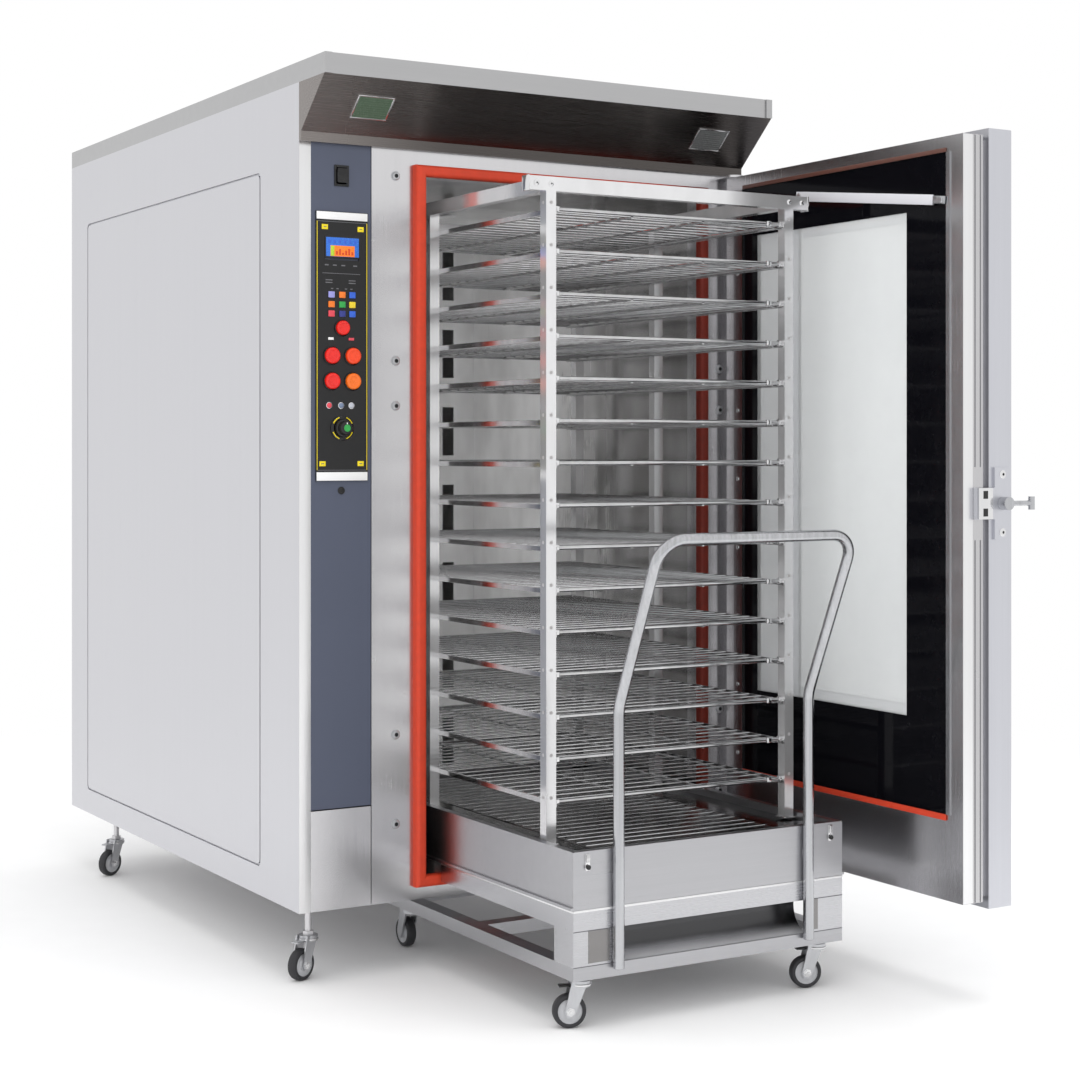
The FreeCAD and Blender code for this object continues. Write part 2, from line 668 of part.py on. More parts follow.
def keypad_display():
    """The screen in its window, the nine keys and the three lamp dots on the fascia."""
    pieces = [block(COLUMN_X - DISPLAY_WIDTH / 2, COLUMN_X + DISPLAY_WIDTH / 2, FASCIA_FACE, FRONT,
                    DISPLAY_Z - DISPLAY_HEIGHT / 2, DISPLAY_Z + DISPLAY_HEIGHT / 2)]
    for row in range(-1, 2):
        for col in range(-1, 2):
            x = COLUMN_X + col * KEY_PITCH - KEY_SIZE / 2
            z = KEY_Z + row * KEY_PITCH - KEY_SIZE / 2
            pieces.append(block(x, x + KEY_SIZE, FASCIA_FACE - KEY_PROUD, FASCIA_FACE, z, z + KEY_SIZE))
    for col in range(-1, 2):
        place = V(COLUMN_X + col * LAMP_DOT_PITCH, FASCIA_FACE - KEY_PROUD, LAMP_DOT_Z)
        pieces.append(rod(place, INWARD, LAMP_DOT_R, KEY_PROUD))
    return pieces


def selector_ring():
    face = FASCIA_FACE - SELECTOR_RING_DEPTH
    disc = rod(V(COLUMN_X, face, SELECTOR_Z), INWARD, SELECTOR_RING_R, SELECTOR_RING_DEPTH)
    bore_r = SELECTOR_STEM_R + SELECTOR_CLEARANCE
    return disc.cut(rod(V(COLUMN_X, face, SELECTOR_Z), INWARD, bore_r, SELECTOR_RING_DEPTH))


def selector_knob():
    """A mushroom knob: a turned profile on a stem that passes through the panel."""
    seat = FASCIA_FACE - SELECTOR_RING_DEPTH - RUN_GAP
    face = seat - SELECTOR_PROUD
    profile = [(0, face), (SELECTOR_FACE_R, face), (SELECTOR_R, face + SELECTOR_WAIST),
               (SELECTOR_R, face + 2 * SELECTOR_WAIST), (SELECTOR_NECK_R, seat), (SELECTOR_STEM_R, seat),
               (SELECTOR_STEM_R, FRONT + PANEL_SHEET + BUTTON_TAIL), (0, FRONT + PANEL_SHEET + BUTTON_TAIL)]
    points = [V(COLUMN_X + r, y, SELECTOR_Z) for r, y in profile]
    face_shape = Part.Face(Part.makePolygon(points + points[:1]))
    return face_shape.revolve(V(COLUMN_X, 0, SELECTOR_Z), INWARD, 360)


def rocker_switch():
    """A rocker with two slanted faces, on a pin between two lugs of the column."""
    tip = FRONT - ROCKER_TIP
    back = FRONT + ROCKER_DEPTH
    tip_z = ROCKER_TIP_HEIGHT / 2
    back_z = ROCKER_BACK_HEIGHT / 2
    x = COLUMN_X - ROCKER_WIDTH / 2
    points = [V(x, tip, ROCKER_Z - tip_z), V(x, FRONT - ROCKER_CROWN, ROCKER_Z), V(x, tip, ROCKER_Z + tip_z),
              V(x, back, ROCKER_Z + back_z), V(x, back, ROCKER_Z - back_z)]
    return prism(points, RIGHT * ROCKER_WIDTH).fuse(rocker_pin(0))


# Door

DOOR_FACE = HINGE_X - DOOR_FACE_OFFSET
PLUG_BACK = DOOR_FACE + PLUG_THICKNESS
SLAB_FRONT = PLUG_BACK + GROOVE_WIDTH
SLAB_BACK = SLAB_FRONT + SLAB_THICKNESS
DOOR_HINGE_END = HINGE_Y + DOOR_HEEL
DOOR_WIDTH = OPEN_RIGHT - OPEN_LEFT + 2 * DOOR_OVERLAP
DOOR_FREE_END = DOOR_HINGE_END - DOOR_WIDTH
PLUG_BOTTOM = OPEN_LOW + PLUG_RISE
PLUG_TOP = OPEN_HIGH + DOOR_OVERLAP
PLUG_HINGE_END = DOOR_HINGE_END - PLUG_HEEL_CUT
GLASS_Y1 = DOOR_HINGE_END - GLASS_HINGE_STILE
GLASS_Y0 = DOOR_FREE_END + GLASS_FREE_STILE
GLASS_Z0 = PLUG_BOTTOM + GLASS_LOW
GLASS_Z1 = PLUG_TOP - GLASS_HIGH
WINDOW_Y1 = GLASS_Y1 - WINDOW_HINGE_BORDER
WINDOW_Y0 = GLASS_Y0 + WINDOW_FREE_BORDER
WINDOW_Z0 = GLASS_Z0 + WINDOW_LOW_BORDER
WINDOW_Z1 = GLASS_Z1 - WINDOW_HIGH_BORDER


def door_plug():
    frame = block(DOOR_FACE, PLUG_BACK, DOOR_FREE_END, PLUG_HINGE_END, PLUG_BOTTOM, PLUG_TOP)
    core = block(PLUG_BACK, SLAB_FRONT, DOOR_FREE_END + GROOVE_DEPTH, PLUG_HINGE_END - GROOVE_DEPTH,
                 PLUG_BOTTOM + GROOVE_DEPTH, PLUG_TOP - GROOVE_DEPTH)
    floor = DOOR_FACE + GLASS_RECESS + GLASS_THICKNESS
    seat = block(DOOR_FACE, floor, GLASS_Y0, GLASS_Y1, GLASS_Z0, GLASS_Z1)
    window = block(DOOR_FACE, SLAB_FRONT, WINDOW_Y0, WINDOW_Y1, WINDOW_Z0, WINDOW_Z1)
    pin_r = HINGE_PIN_R + HINGE_PIN_CLEARANCE
    pin_depth = HINGE_PIN_LENGTH + HINGE_GAP
    low_pin = rod(V(HINGE_X, HINGE_Y, PLUG_BOTTOM), UP, pin_r, pin_depth)
    high_pin = rod(V(HINGE_X, HINGE_Y, PLUG_TOP - pin_depth), UP, pin_r, pin_depth)
    return fuse([frame, core]).cut([seat, window, low_pin, high_pin])


def door_slab():
    slab = block(SLAB_FRONT, SLAB_BACK, DOOR_FREE_END - SLAB_LIP, DOOR_HINGE_END,
                 PLUG_BOTTOM - SLAB_OVER, PLUG_TOP + SLAB_OVER)
    outer_edges = [e for e in slab.Edges if abs(e.CenterOfMass.x - SLAB_BACK) < 0.01]
    slab = slab.makeFillet(SLAB_ROUND, outer_edges)
    pane_seat = block(SLAB_BACK - GLASS_RECESS - GLASS_THICKNESS, SLAB_BACK, WINDOW_Y0 - SEAL_HEIGHT,
                      WINDOW_Y1 + SEAL_HEIGHT, WINDOW_Z0 - SEAL_HEIGHT, WINDOW_Z1 + SEAL_HEIGHT)
    window = block(SLAB_FRONT, SLAB_BACK, WINDOW_Y0, WINDOW_Y1, WINDOW_Z0, WINDOW_Z1)
    return slab.cut([pane_seat, window, latch_bore()])


def door_glass():
    inner = block(DOOR_FACE + GLASS_RECESS, DOOR_FACE + GLASS_RECESS + GLASS_THICKNESS,
                  GLASS_Y0, GLASS_Y1, GLASS_Z0, GLASS_Z1)
    back = SLAB_BACK - GLASS_RECESS
    outer = block(back - GLASS_THICKNESS, back, WINDOW_Y0 - SEAL_HEIGHT, WINDOW_Y1 + SEAL_HEIGHT,
                  WINDOW_Z0 - SEAL_HEIGHT, WINDOW_Z1 + SEAL_HEIGHT)
    return [inner, outer]


def door_seal():
    strips = []
    for z in (GLASS_Z0 - SEAL_HEIGHT, GLASS_Z1):
        strips.append(block(DOOR_FACE - SEAL_PROUD, DOOR_FACE, GLASS_Y0, GLASS_Y1, z, z + SEAL_HEIGHT))
    return strips


def glass_trim():
    trims = []
    for y0, width in ((GLASS_Y1, TRIM_HINGE_WIDTH), (GLASS_Y0 - TRIM_FREE_WIDTH, TRIM_FREE_WIDTH)):
        trims.append(block(DOOR_FACE - TRIM_PROUD, DOOR_FACE, y0, y0 + width, GLASS_Z0, GLASS_Z1))
    return trims


def hinge_bracket(z_plate, z_pin, pin_length):
    """A plate on the front frame with a rounded eye that holds a door pin."""
    eye = rod(V(HINGE_X, HINGE_Y, z_plate), UP, HINGE_EYE_R, HINGE_PLATE)
    arm = block(HINGE_X - HINGE_EYE_R, HINGE_X + HINGE_EYE_R, HINGE_Y, FRONT, z_plate, z_plate + HINGE_PLATE)
    pin = rod(V(HINGE_X, HINGE_Y, z_pin), UP, HINGE_PIN_R, pin_length)
    return fuse([eye, arm, pin])


def hinge_brackets():
    low_plate = PLUG_BOTTOM - HINGE_GAP - HINGE_PLATE
    high_plate = PLUG_TOP + HINGE_GAP
    low = hinge_bracket(low_plate, low_plate, HINGE_PLATE + HINGE_PIN_LENGTH)
    high = hinge_bracket(high_plate, high_plate - HINGE_PIN_LENGTH, HINGE_PLATE + HINGE_PIN_LENGTH)
    return [low, high]


# Door latch

SLAB_EDGE = DOOR_FREE_END - SLAB_LIP
LATCH_X = (SLAB_FRONT + SLAB_BACK) / 2
LATCH_FACE = SLAB_EDGE - LATCH_PLATE_THICKNESS


def latch_bore():
    depth = LATCH_PLATE_THICKNESS + LEVER_PIN_LENGTH
    return rod(V(LATCH_X, LATCH_FACE, LATCH_Z), INWARD, LEVER_PIN_R + LEVER_CLEARANCE, depth + RUN_GAP)


def latch_plate():
    low = LATCH_Z - LATCH_PLATE_HEIGHT / 2
    plate = block(LATCH_X - LATCH_PLATE_WIDTH / 2, LATCH_X + LATCH_PLATE_WIDTH / 2, LATCH_FACE, SLAB_EDGE,
                  low, low + LATCH_PLATE_HEIGHT)
    keeper_x = (DOOR_FACE + PLUG_BACK) / 2
    z0 = LATCH_Z - KEEPER_HEIGHT / 2
    z1 = LATCH_Z + KEEPER_HEIGHT / 2
    keeper = block(keeper_x, LATCH_X, LATCH_FACE, SLAB_EDGE, z0, z1)
    foot = block(keeper_x, keeper_x + KEEPER_DEPTH, SLAB_EDGE, DOOR_FREE_END, z0, z1)
    return fuse([plate, keeper, foot]).cut(latch_bore())


def latch_lever():
    face = LATCH_FACE - RUN_GAP
    boss = rod(V(LATCH_X, face - LEVER_BOSS_LENGTH, LATCH_Z), INWARD, LEVER_BOSS_R, LEVER_BOSS_LENGTH)
    pin = rod(V(LATCH_X, face, LATCH_Z), INWARD, LEVER_PIN_R, LATCH_PLATE_THICKNESS + LEVER_PIN_LENGTH)
    bar_y = face - LEVER_BOSS_LENGTH / 2
    bar = rod(V(LATCH_X, bar_y, LATCH_Z), RIGHT, LEVER_BAR_R, LEVER_REACH)
    tee = rod(V(LATCH_X + LEVER_REACH, bar_y, LATCH_Z - LEVER_TEE / 2), UP, LEVER_TEE_R, LEVER_TEE)
    return fuse([boss, pin, bar, tee])


# Loading cart

CHASSIS_TOP = CHASSIS_BOTTOM + CHASSIS_HEIGHT
RIM_TOP = RACK_BOTTOM - SLIDE_GAP
RIM_REAR = FRONT - GASKET_DEPTH - RIM_STAND_OFF
CHASSIS_REAR = CART_Y + CHASSIS_LENGTH


def beam_frame(y0, y1, z0, z1, beam):
    """Two side beams and a beam between them at each end."""
    left = CART_LEFT + beam
    right = CART_RIGHT - beam
    return [block(CART_LEFT, left, y0, y1, z0, z1), block(right, CART_RIGHT, y0, y1, z0, z1),
            block(left, right, y0, y0 + beam, z0, z1), block(left, right, y1 - beam, y1, z0, z1)]


def cart_chassis():
    """The lower frame with a middle beam and the caster stems."""
    pieces = beam_frame(CART_Y, CHASSIS_REAR, CHASSIS_BOTTOM, CHASSIS_TOP, CHASSIS_BEAM)
    middle = (CART_Y + CHASSIS_REAR) / 2
    pieces.append(block(CART_LEFT + CHASSIS_BEAM, CART_RIGHT - CHASSIS_BEAM, middle, middle + CHASSIS_BEAM,
                        CHASSIS_BOTTOM, CHASSIS_TOP))
    return pieces + [caster_stem(x, y, CHASSIS_BOTTOM) for x, y in cart_casters()]


def cart_rim():
    """The upper frame that carries the rack, on an angle post at each front corner."""
    pieces = beam_frame(CART_Y, RIM_REAR, RIM_BOTTOM, RIM_TOP, RIM_BEAM)
    inner_y = CART_Y + CORNER_SHEET
    side_end = CART_Y + CORNER_SIDE
    for x0, x1, side in ((CART_LEFT, CART_LEFT + CORNER_FRONT, CART_LEFT),
                         (CART_RIGHT - CORNER_FRONT, CART_RIGHT, CART_RIGHT - CORNER_SHEET)):
        pieces.append(block(x0, x1, CART_Y, inner_y, CHASSIS_TOP, RIM_BOTTOM))
        pieces.append(block(side, side + CORNER_SHEET, inner_y, side_end, CHASSIS_TOP, RIM_BOTTOM))
    return pieces


def drip_pan():
    """A pan with a hollow front, between the chassis and the rim."""
    x = CART_LEFT + PAN_INSET
    y0 = CART_Y + CORNER_SHEET
    y1 = y0 + PAN_DEPTH
    low_front = V(x, y0, CHASSIS_TOP)
    high_front = V(x, y0 + PAN_LIP, RIM_BOTTOM)
    hollow = V(x, y0 + PAN_LIP, (CHASSIS_TOP + RIM_BOTTOM) / 2)
    edges = [Part.Arc(low_front, hollow, high_front).toShape()]
    edges += Part.makePolygon([high_front, V(x, y1, RIM_BOTTOM), V(x, y1, CHASSIS_TOP), low_front]).Edges
    return Part.Face(Part.Wire(edges)).extrude(RIGHT * (CART_RIGHT - CART_LEFT - 2 * PAN_INSET))


def push_handle():
    y = CART_Y - HANDLE_R
    x0 = CART_LEFT + HANDLE_INSET
    x1 = CART_RIGHT - HANDLE_INSET
    points = [V(x0, y, HANDLE_BOTTOM), V(x0, y, HANDLE_KNEE), V(x0, y - HANDLE_LEAN, HANDLE_TOP),
              V(x1, y - HANDLE_LEAN, HANDLE_TOP), V(x1, y, HANDLE_KNEE), V(x1, y, HANDLE_BOTTOM)]
    bends = [HANDLE_KNEE_BEND, HANDLE_CORNER_BEND, HANDLE_CORNER_BEND, HANDLE_KNEE_BEND]
    tube = bent_tube(points, bends, HANDLE_R)
    pieces = [tube]
    for x in (x0, x1):
        for z0, z1 in ((CHASSIS_BOTTOM + CORNER_SHEET, CHASSIS_TOP), (RIM_BOTTOM, RIM_TOP)):
            pieces.append(block(x - HANDLE_CLIP / 2, x + HANDLE_CLIP / 2, y, CART_Y, z0, z1))
    return fuse(pieces)


# Rack base and shelf rack

BASE_REAR = CART_Y + BASE_LENGTH
BASE_TOP = RACK_BOTTOM + BASE_HEIGHT
GRID_BOTTOM = BASE_TOP - BASE_RIM_DROP
GRID_TOP = GRID_BOTTOM + GRID_THICKNESS
POST_LEFT = CART_LEFT + POST_INSET
POST_RIGHT = CART_RIGHT - POST_INSET
POST_FRONT = CART_Y + POST_FRONT_SETBACK
POST_REAR = BASE_REAR - BASE_WALL - POST_SIZE / 2
POST_MIDDLE = (POST_FRONT + POST_REAR) / 2 + POST_MIDDLE_SHIFT
RACK_TOP = OPEN_HIGH - RACK_HEADROOM
SHELF_LAST = RACK_TOP - SHELF_TOP_DROP
TOP_BAR_BOTTOM = RACK_TOP - TOP_BAR_HEIGHT


def base_box():
    """A deep tray: a flanged floor, four walls and an inner ledge for the grid."""
    floor_top = RACK_BOTTOM + BASE_FLANGE
    left = CART_LEFT + BASE_WALL
    right = CART_RIGHT - BASE_WALL
    near = CART_Y + BASE_WALL
    far = BASE_REAR - BASE_WALL
    pieces = [block(CART_LEFT - BASE_FLANGE, CART_RIGHT + BASE_FLANGE, CART_Y, BASE_REAR,
                    RACK_BOTTOM, floor_top)]
    for x0, x1, y0, y1 in ((CART_LEFT, left, CART_Y, BASE_REAR), (right, CART_RIGHT, CART_Y, BASE_REAR),
                           (left, right, CART_Y, near), (left, right, far, BASE_REAR)):
        pieces.append(block(x0, x1, y0, y1, floor_top, BASE_TOP))
    for x0, x1 in ((left, left + BASE_LEDGE), (right - BASE_LEDGE, right)):
        pieces.append(block(x0, x1, near, far, GRID_BOTTOM - BASE_LEDGE_HEIGHT, GRID_BOTTOM))
    return pieces


def base_grid():
    """Loose bars in an edge frame that lies on the ledges of the base."""
    edge = POST_SIZE + BASE_WALL
    left = CART_LEFT + BASE_WALL
    right = CART_RIGHT - BASE_WALL
    near = CART_Y + BASE_WALL
    far = BASE_REAR - BASE_WALL
    places = [(left, left + edge, near, far), (right - edge, right, near, far),
              (left + edge, right - edge, near, near + edge), (left + edge, right - edge, far - edge, far)]
    gap = (far - near - 2 * edge - GRID_BAR_COUNT * GRID_BAR) / (GRID_BAR_COUNT + 1)
    for i in range(GRID_BAR_COUNT):
        y = near + edge + gap + i * (gap + GRID_BAR)
        places.append((left + edge, right - edge, y, y + GRID_BAR))
    return [block(*place, GRID_BOTTOM, GRID_TOP) for place in places]


def post_places():
    half = POST_SIZE / 2
    rows = (POST_FRONT, POST_MIDDLE, POST_REAR)
    return [(x - half, y - half) for x in (POST_LEFT, POST_RIGHT) for y in rows]


def rack_frame():
    """Three posts a side, a crossbar over the front and the rear pair and a bar along each side."""
    half = POST_SIZE / 2
    pieces = []
    for x, y in post_places():
        pieces.append(block(x, x + POST_SIZE, y, y + POST_SIZE, GRID_TOP, TOP_BAR_BOTTOM))
    for y in (POST_FRONT, POST_REAR):
        pieces.append(block(POST_LEFT - TOP_BAR_OVERHANG, POST_RIGHT + TOP_BAR_OVERHANG, y - half, y + half,
                            TOP_BAR_BOTTOM, RACK_TOP))
    for x in (POST_LEFT, POST_RIGHT):
        pieces.append(block(x - half, x + half, POST_FRONT + half, POST_REAR - half,
                            TOP_BAR_BOTTOM, RACK_TOP))
    return pieces


def shelf_heights():
    step = (SHELF_LAST - SHELF_FIRST) / (SHELF_COUNT - 1)
    return [SHELF_FIRST + i * step for i in range(SHELF_COUNT)]


def wire_shelf(z):
    """One level: an angle runner on each side, a grid of wires and a front rod between the posts."""
    half = POST_SIZE / 2
    y0 = POST_FRONT - half
    y1 = POST_REAR + half
    x0 = POST_LEFT + half
    x1 = POST_RIGHT - half
    pieces = [slotted_plate(x0, x1, POST_FRONT + half, y1, z, SHELF_THICKNESS, SHELF_RAIL, SHELF_WIRE_COUNT,
                            SHELF_WIRE)]
    top = z + SHELF_THICKNESS
    for x in (x0, x1 - RUNNER_SHEET):
        pieces.append(block(x, x + RUNNER_SHEET, y0, y1, top - RUNNER_HEIGHT, top))
    front = V(x0, POST_FRONT, z + SHELF_THICKNESS / 2)
    pieces.append(rod(front, RIGHT, FRONT_ROD_R, x1 - x0))
    return fuse(pieces)


def rack_lock(x):
    """A lock plate on the front of the base with a turned knob."""
    z = BASE_TOP - LOCK_DROP
    half_w = LOCK_PLATE_WIDTH / 2
    half_h = LOCK_PLATE_HEIGHT / 2
    plate = block(x - half_w, x + half_w, CART_Y - LOCK_PLATE, CART_Y, z - half_h, z + half_h)
    knob = rod(V(x, CART_Y - LOCK_PLATE - LOCK_LENGTH, z), INWARD, LOCK_R, LOCK_LENGTH)
    return fuse([plate, knob])


# Casters

def oven_casters():
    columns = (LEFT + CASTER_SIDE, RIGHT_SIDE - CASTER_SIDE)
    return [(x, y) for y in (FRONT + CASTER_FRONT, REAR - CASTER_REAR) for x in columns]


def cart_casters():
    return [(x, y) for y in (CART_Y + CART_CASTER_END, CHASSIS_REAR - CART_CASTER_END)
            for x in (CART_LEFT + CART_CASTER_INSET, CART_RIGHT - CART_CASTER_INSET)]


def caster_stem(x, y, top):
    """A stem from the carrying frame into the fork, with a hexagonal nut above the fork."""
    low = FORK_TOP - STEM_SEAT
    stem = rod(V(x, y, low), UP, STEM_R, top - low)
    nut_low = FORK_TOP + RUN_GAP
    nut_high = min(nut_low + NUT_HEIGHT, top)
    corners = [V(x + NUT_R * math.cos(math.pi * i / 3), y + NUT_R * math.sin(math.pi * i / 3), nut_low)
               for i in range(6)]
    return stem.fuse(prism(corners, UP * (nut_high - nut_low)))


def caster_fork(x, y, heading, braked):
    """A crown on the swivel axis, two cheeks down to the axle, and the axle itself."""
    crown_low = FORK_TOP - FORK_CROWN
    inner = WHEEL_HUB_WIDTH / 2 + FORK_GAP
    outer = inner + FORK_SHEET
    crown = rod(V(0, 0, crown_low), UP, FORK_CROWN_R, FORK_CROWN)
    pieces = [crown, rod(V(FORK_TRAIL, -outer, WHEEL_R), INWARD, AXLE_R, 2 * outer)]
    low = WHEEL_R - FORK_EAR_R
    cheek = [(-FORK_EAR_R, FORK_TOP), (FORK_CROWN_R, FORK_TOP), (FORK_TRAIL + FORK_EAR_R, WHEEL_R),
             (FORK_TRAIL + FORK_EAR_FLAT, low), (FORK_TRAIL - FORK_EAR_FLAT, low),
             (FORK_TRAIL - FORK_EAR_R, WHEEL_R)]
    for y0 in (-outer, inner):
        pieces.append(prism([V(along, y0, z) for along, z in cheek], INWARD * FORK_SHEET))
    if braked:
        half = BRAKE_WIDTH / 2
        pieces.append(block(FORK_CROWN_R - BRAKE_SHEET, FORK_CROWN_R + BRAKE_LENGTH, -half, half,
                            crown_low, crown_low + BRAKE_SHEET))
    bore = rod(V(0, 0, FORK_TOP - STEM_SEAT - RUN_GAP), UP, STEM_R + STEM_CLEARANCE, STEM_SEAT + RUN_GAP)
    return set_down(fuse(pieces).cut(bore), x, y, heading)


def caster_wheel(x, y, heading):
    """A turned wheel: a hub that stands out a little and a tyre with rounded shoulders."""
    hub = WHEEL_HUB_WIDTH / 2
    tyre = WHEEL_WIDTH / 2
    half = [(AXLE_R + AXLE_CLEARANCE, hub), (WHEEL_HUB_R, hub), (WHEEL_R - TYRE_ROUND, tyre),
            (WHEEL_R, tyre - TYRE_ROUND)]
    outline = half + [(r, -w) for r, w in reversed(half)]
    points = [V(FORK_TRAIL + r, w, WHEEL_R) for r, w in outline]
    turned = Part.Face(Part.makePolygon(points + points[:1])).revolve(V(FORK_TRAIL, 0, WHEEL_R), INWARD, 360)
    return set_down(turned, x, y, heading)


def set_down(shape, x, y, heading):
    shape.rotate(V(0, 0, 0), UP, heading)
    shape.translate(V(x, y, 0))
    return shape


def save_all():
    save("base_frame", *base_frame())
    save("left_side_panel", left_side_panel())
    save("access_panel", access_outline(LEFT, ACCESS_RECESS, ACCESS_GROOVE))
    save("right_side_panel", block(RIGHT_SIDE - WALL, RIGHT_SIDE, LINER_FRONT, REAR, CAB_BOTTOM, PANEL_TOP))
    save("back_panel", back_panel())
    save("roof_panel", roof_panel())
    save("hood_canopy", hood_canopy())
    save("hood_lamps", hood_lamp(LEFT + LAMP_INSET), hood_lamp(RIGHT_SIDE - LAMP_INSET - LAMP_WIDTH))
    save("front_frame", *front_frame())
    save("opening_gasket", opening_gasket())
    save("chamber_liner", *chamber_liner())
    save("rear_baffle", rear_baffle())
    save("heating_elements", *heating_elements())
    save("fan_motor", fan_motor())
    save("fan_impeller", fan_impeller())
    save("flue_spigot", flue_spigot())
    save("control_column", control_column())
    save("kick_cover", kick_cover())
    save("control_fascia", control_fascia())
    save("keypad_display", *keypad_display())
    save("selector_ring", selector_ring())
    save("selector_knob", selector_knob())
    save("rocker_switch", rocker_switch())
    for name, x, z, radius in button_places():
        save(name, push_button(x, z, radius))
    save("door_plug", door_plug())
    save("door_slab", door_slab())
    save("door_glass", *door_glass())
    save("door_seal", *door_seal())
    save("glass_trim", *glass_trim())
    save("hinge_brackets", *hinge_brackets())
    save("latch_plate", latch_plate())
    save("latch_lever", latch_lever())
    save("cart_chassis", *cart_chassis())
    save("cart_rim", *cart_rim())
    save("drip_pan", drip_pan())
    save("push_handle", push_handle())
    save("base_box", *base_box())
    save("base_grid", *base_grid())
    save("rack_frame", *rack_frame())
    save("wire_shelves", *[wire_shelf(z) for z in shelf_heights()])
    save("rack_locks", rack_lock(CART_LEFT + LOCK_INSET), rack_lock(CART_RIGHT - LOCK_INSET))
    corners = ("front_left", "front_right", "rear_left", "rear_right")
    for corner, (x, y) in zip(corners, oven_casters()):
        save("oven_fork_" + corner, caster_fork(x, y, OVEN_HEADING, True))
        save("oven_wheel_" + corner, caster_wheel(x, y, OVEN_HEADING))
    swivel, fixed = cart_casters()[:2], cart_casters()[2:]
    for corner, (x, y) in zip(corners[:2], swivel):
        save("cart_fork_" + corner, caster_fork(x, y, CART_HEADING, False))
        save("cart_wheel_" + corner, caster_wheel(x, y, CART_HEADING))
    save("cart_rear_forks", *[caster_fork(x, y, FIXED_HEADING, False) for x, y in fixed])
    for corner, (x, y) in zip(corners[2:], fixed):
        save("cart_wheel_" + corner, caster_wheel(x, y, FIXED_HEADING))


os.makedirs("parts", exist_ok=True)
save_all()
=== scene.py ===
import math

import bmesh
import bpy
from bpy.props import FloatProperty, FloatVectorProperty, IntProperty, PointerProperty
from mathutils import Matrix, Vector


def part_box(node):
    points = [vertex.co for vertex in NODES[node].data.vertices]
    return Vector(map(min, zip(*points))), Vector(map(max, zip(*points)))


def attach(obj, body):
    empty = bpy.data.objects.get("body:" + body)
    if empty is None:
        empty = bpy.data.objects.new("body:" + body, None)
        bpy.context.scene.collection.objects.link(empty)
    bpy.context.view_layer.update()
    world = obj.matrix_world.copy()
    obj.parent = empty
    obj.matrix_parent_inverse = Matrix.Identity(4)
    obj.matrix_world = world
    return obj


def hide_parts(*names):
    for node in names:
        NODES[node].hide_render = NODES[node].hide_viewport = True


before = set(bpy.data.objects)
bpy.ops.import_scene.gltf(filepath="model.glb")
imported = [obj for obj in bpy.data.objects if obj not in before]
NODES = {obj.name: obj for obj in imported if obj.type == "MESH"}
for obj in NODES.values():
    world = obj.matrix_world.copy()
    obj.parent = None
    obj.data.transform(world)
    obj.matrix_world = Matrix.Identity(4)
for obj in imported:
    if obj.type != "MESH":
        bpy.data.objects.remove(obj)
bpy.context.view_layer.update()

FINISHES = {}
WHITE = (1.0, 1.0, 1.0)
FRONT, BACK, LEFT, RIGHT, UP = (0, -1, 0), (0, 1, 0), (-1, 0, 0), (1, 0, 0), (0, 0, 1)

bl_info = {
    "name": "Rack oven dressing",
    "version": (1, 0, 0),
    "blender": (4, 5, 0),
    "location": "3D View > Sidebar > Rack oven",
    "description": "Finishes and fine pieces for the packed rack oven, its door, cart and shelf rack",
    "category": "Object",
}


def linear(red, green, blue):
    """A colour given in screen values from 0 to 255, as the shader's linear numbers."""
    def one(value):
        value = value / 255
        return value / 12.92 if value <= 0.04045 else ((value + 0.055) / 1.055) ** 2.4
    return (one(red), one(green), one(blue))


def colour(name, description, value):
    return FloatVectorProperty(name=name, description=description, default=value, size=3,
                               subtype="COLOR", min=0.0, max=1.0)


def length(name, description, value):
    return FloatProperty(name=name, description=description, default=value, min=0.0, unit="LENGTH")


def power(name, description, value):
    return FloatProperty(name=name, description=description, default=value, min=0.0, unit="POWER")


class OvenFinishes(bpy.types.PropertyGroup):
    side: colour("Side panels", "Satin steel of the side panels", linear(211, 211, 215))
    roof: colour("Roof", "Brushed steel of the roof edge", linear(182, 182, 183))
    door: colour("Door", "Brushed steel of the door's outer slab", linear(205, 206, 212))
    cart: colour("Cart", "Brushed steel of the cart and the rack's base", linear(180, 180, 183))
    front: colour("Front", "Brushed steel round the doorway", linear(212, 211, 213))
    hood: colour("Hood", "Dark polished steel of the hood", linear(88, 84, 82))
    liner: colour("Liner", "Steel of the chamber", linear(224, 221, 220))
    bright: colour("Bright metal", "Polished posts, trims and rods", linear(228, 228, 229))
    tube: colour("Tube", "Satin steel of the push handle", linear(192, 193, 196))
    paint: colour("Column paint", "Blue-grey paint of the control column", linear(76, 82, 100))
    fascia: colour("Fascia", "Black plate that carries the controls", linear(15, 15, 17))
    silicone: colour("Silicone", "Doorway gasket and door strips", linear(208, 62, 32))
    print_black: colour("Glass print", "Black border printed on the door glass", linear(11, 11, 15))
    yellow: colour("Yellow", "Lines, studs and the selector ring", linear(238, 214, 20))
    red: colour("Red caps", "Red push buttons", linear(228, 26, 14))
    orange: colour("Orange cap", "Orange-red push button", linear(238, 66, 14))
    amber: colour("Amber cap", "Amber push button", linear(246, 112, 16))
    zinc: colour("Zinc", "Plated caster forks", linear(196, 197, 200))
    tyre: colour("Tyre", "Rubber of the caster wheels", linear(44, 44, 47))
    hub: colour("Hub", "Grey wheel centres", linear(186, 187, 190))


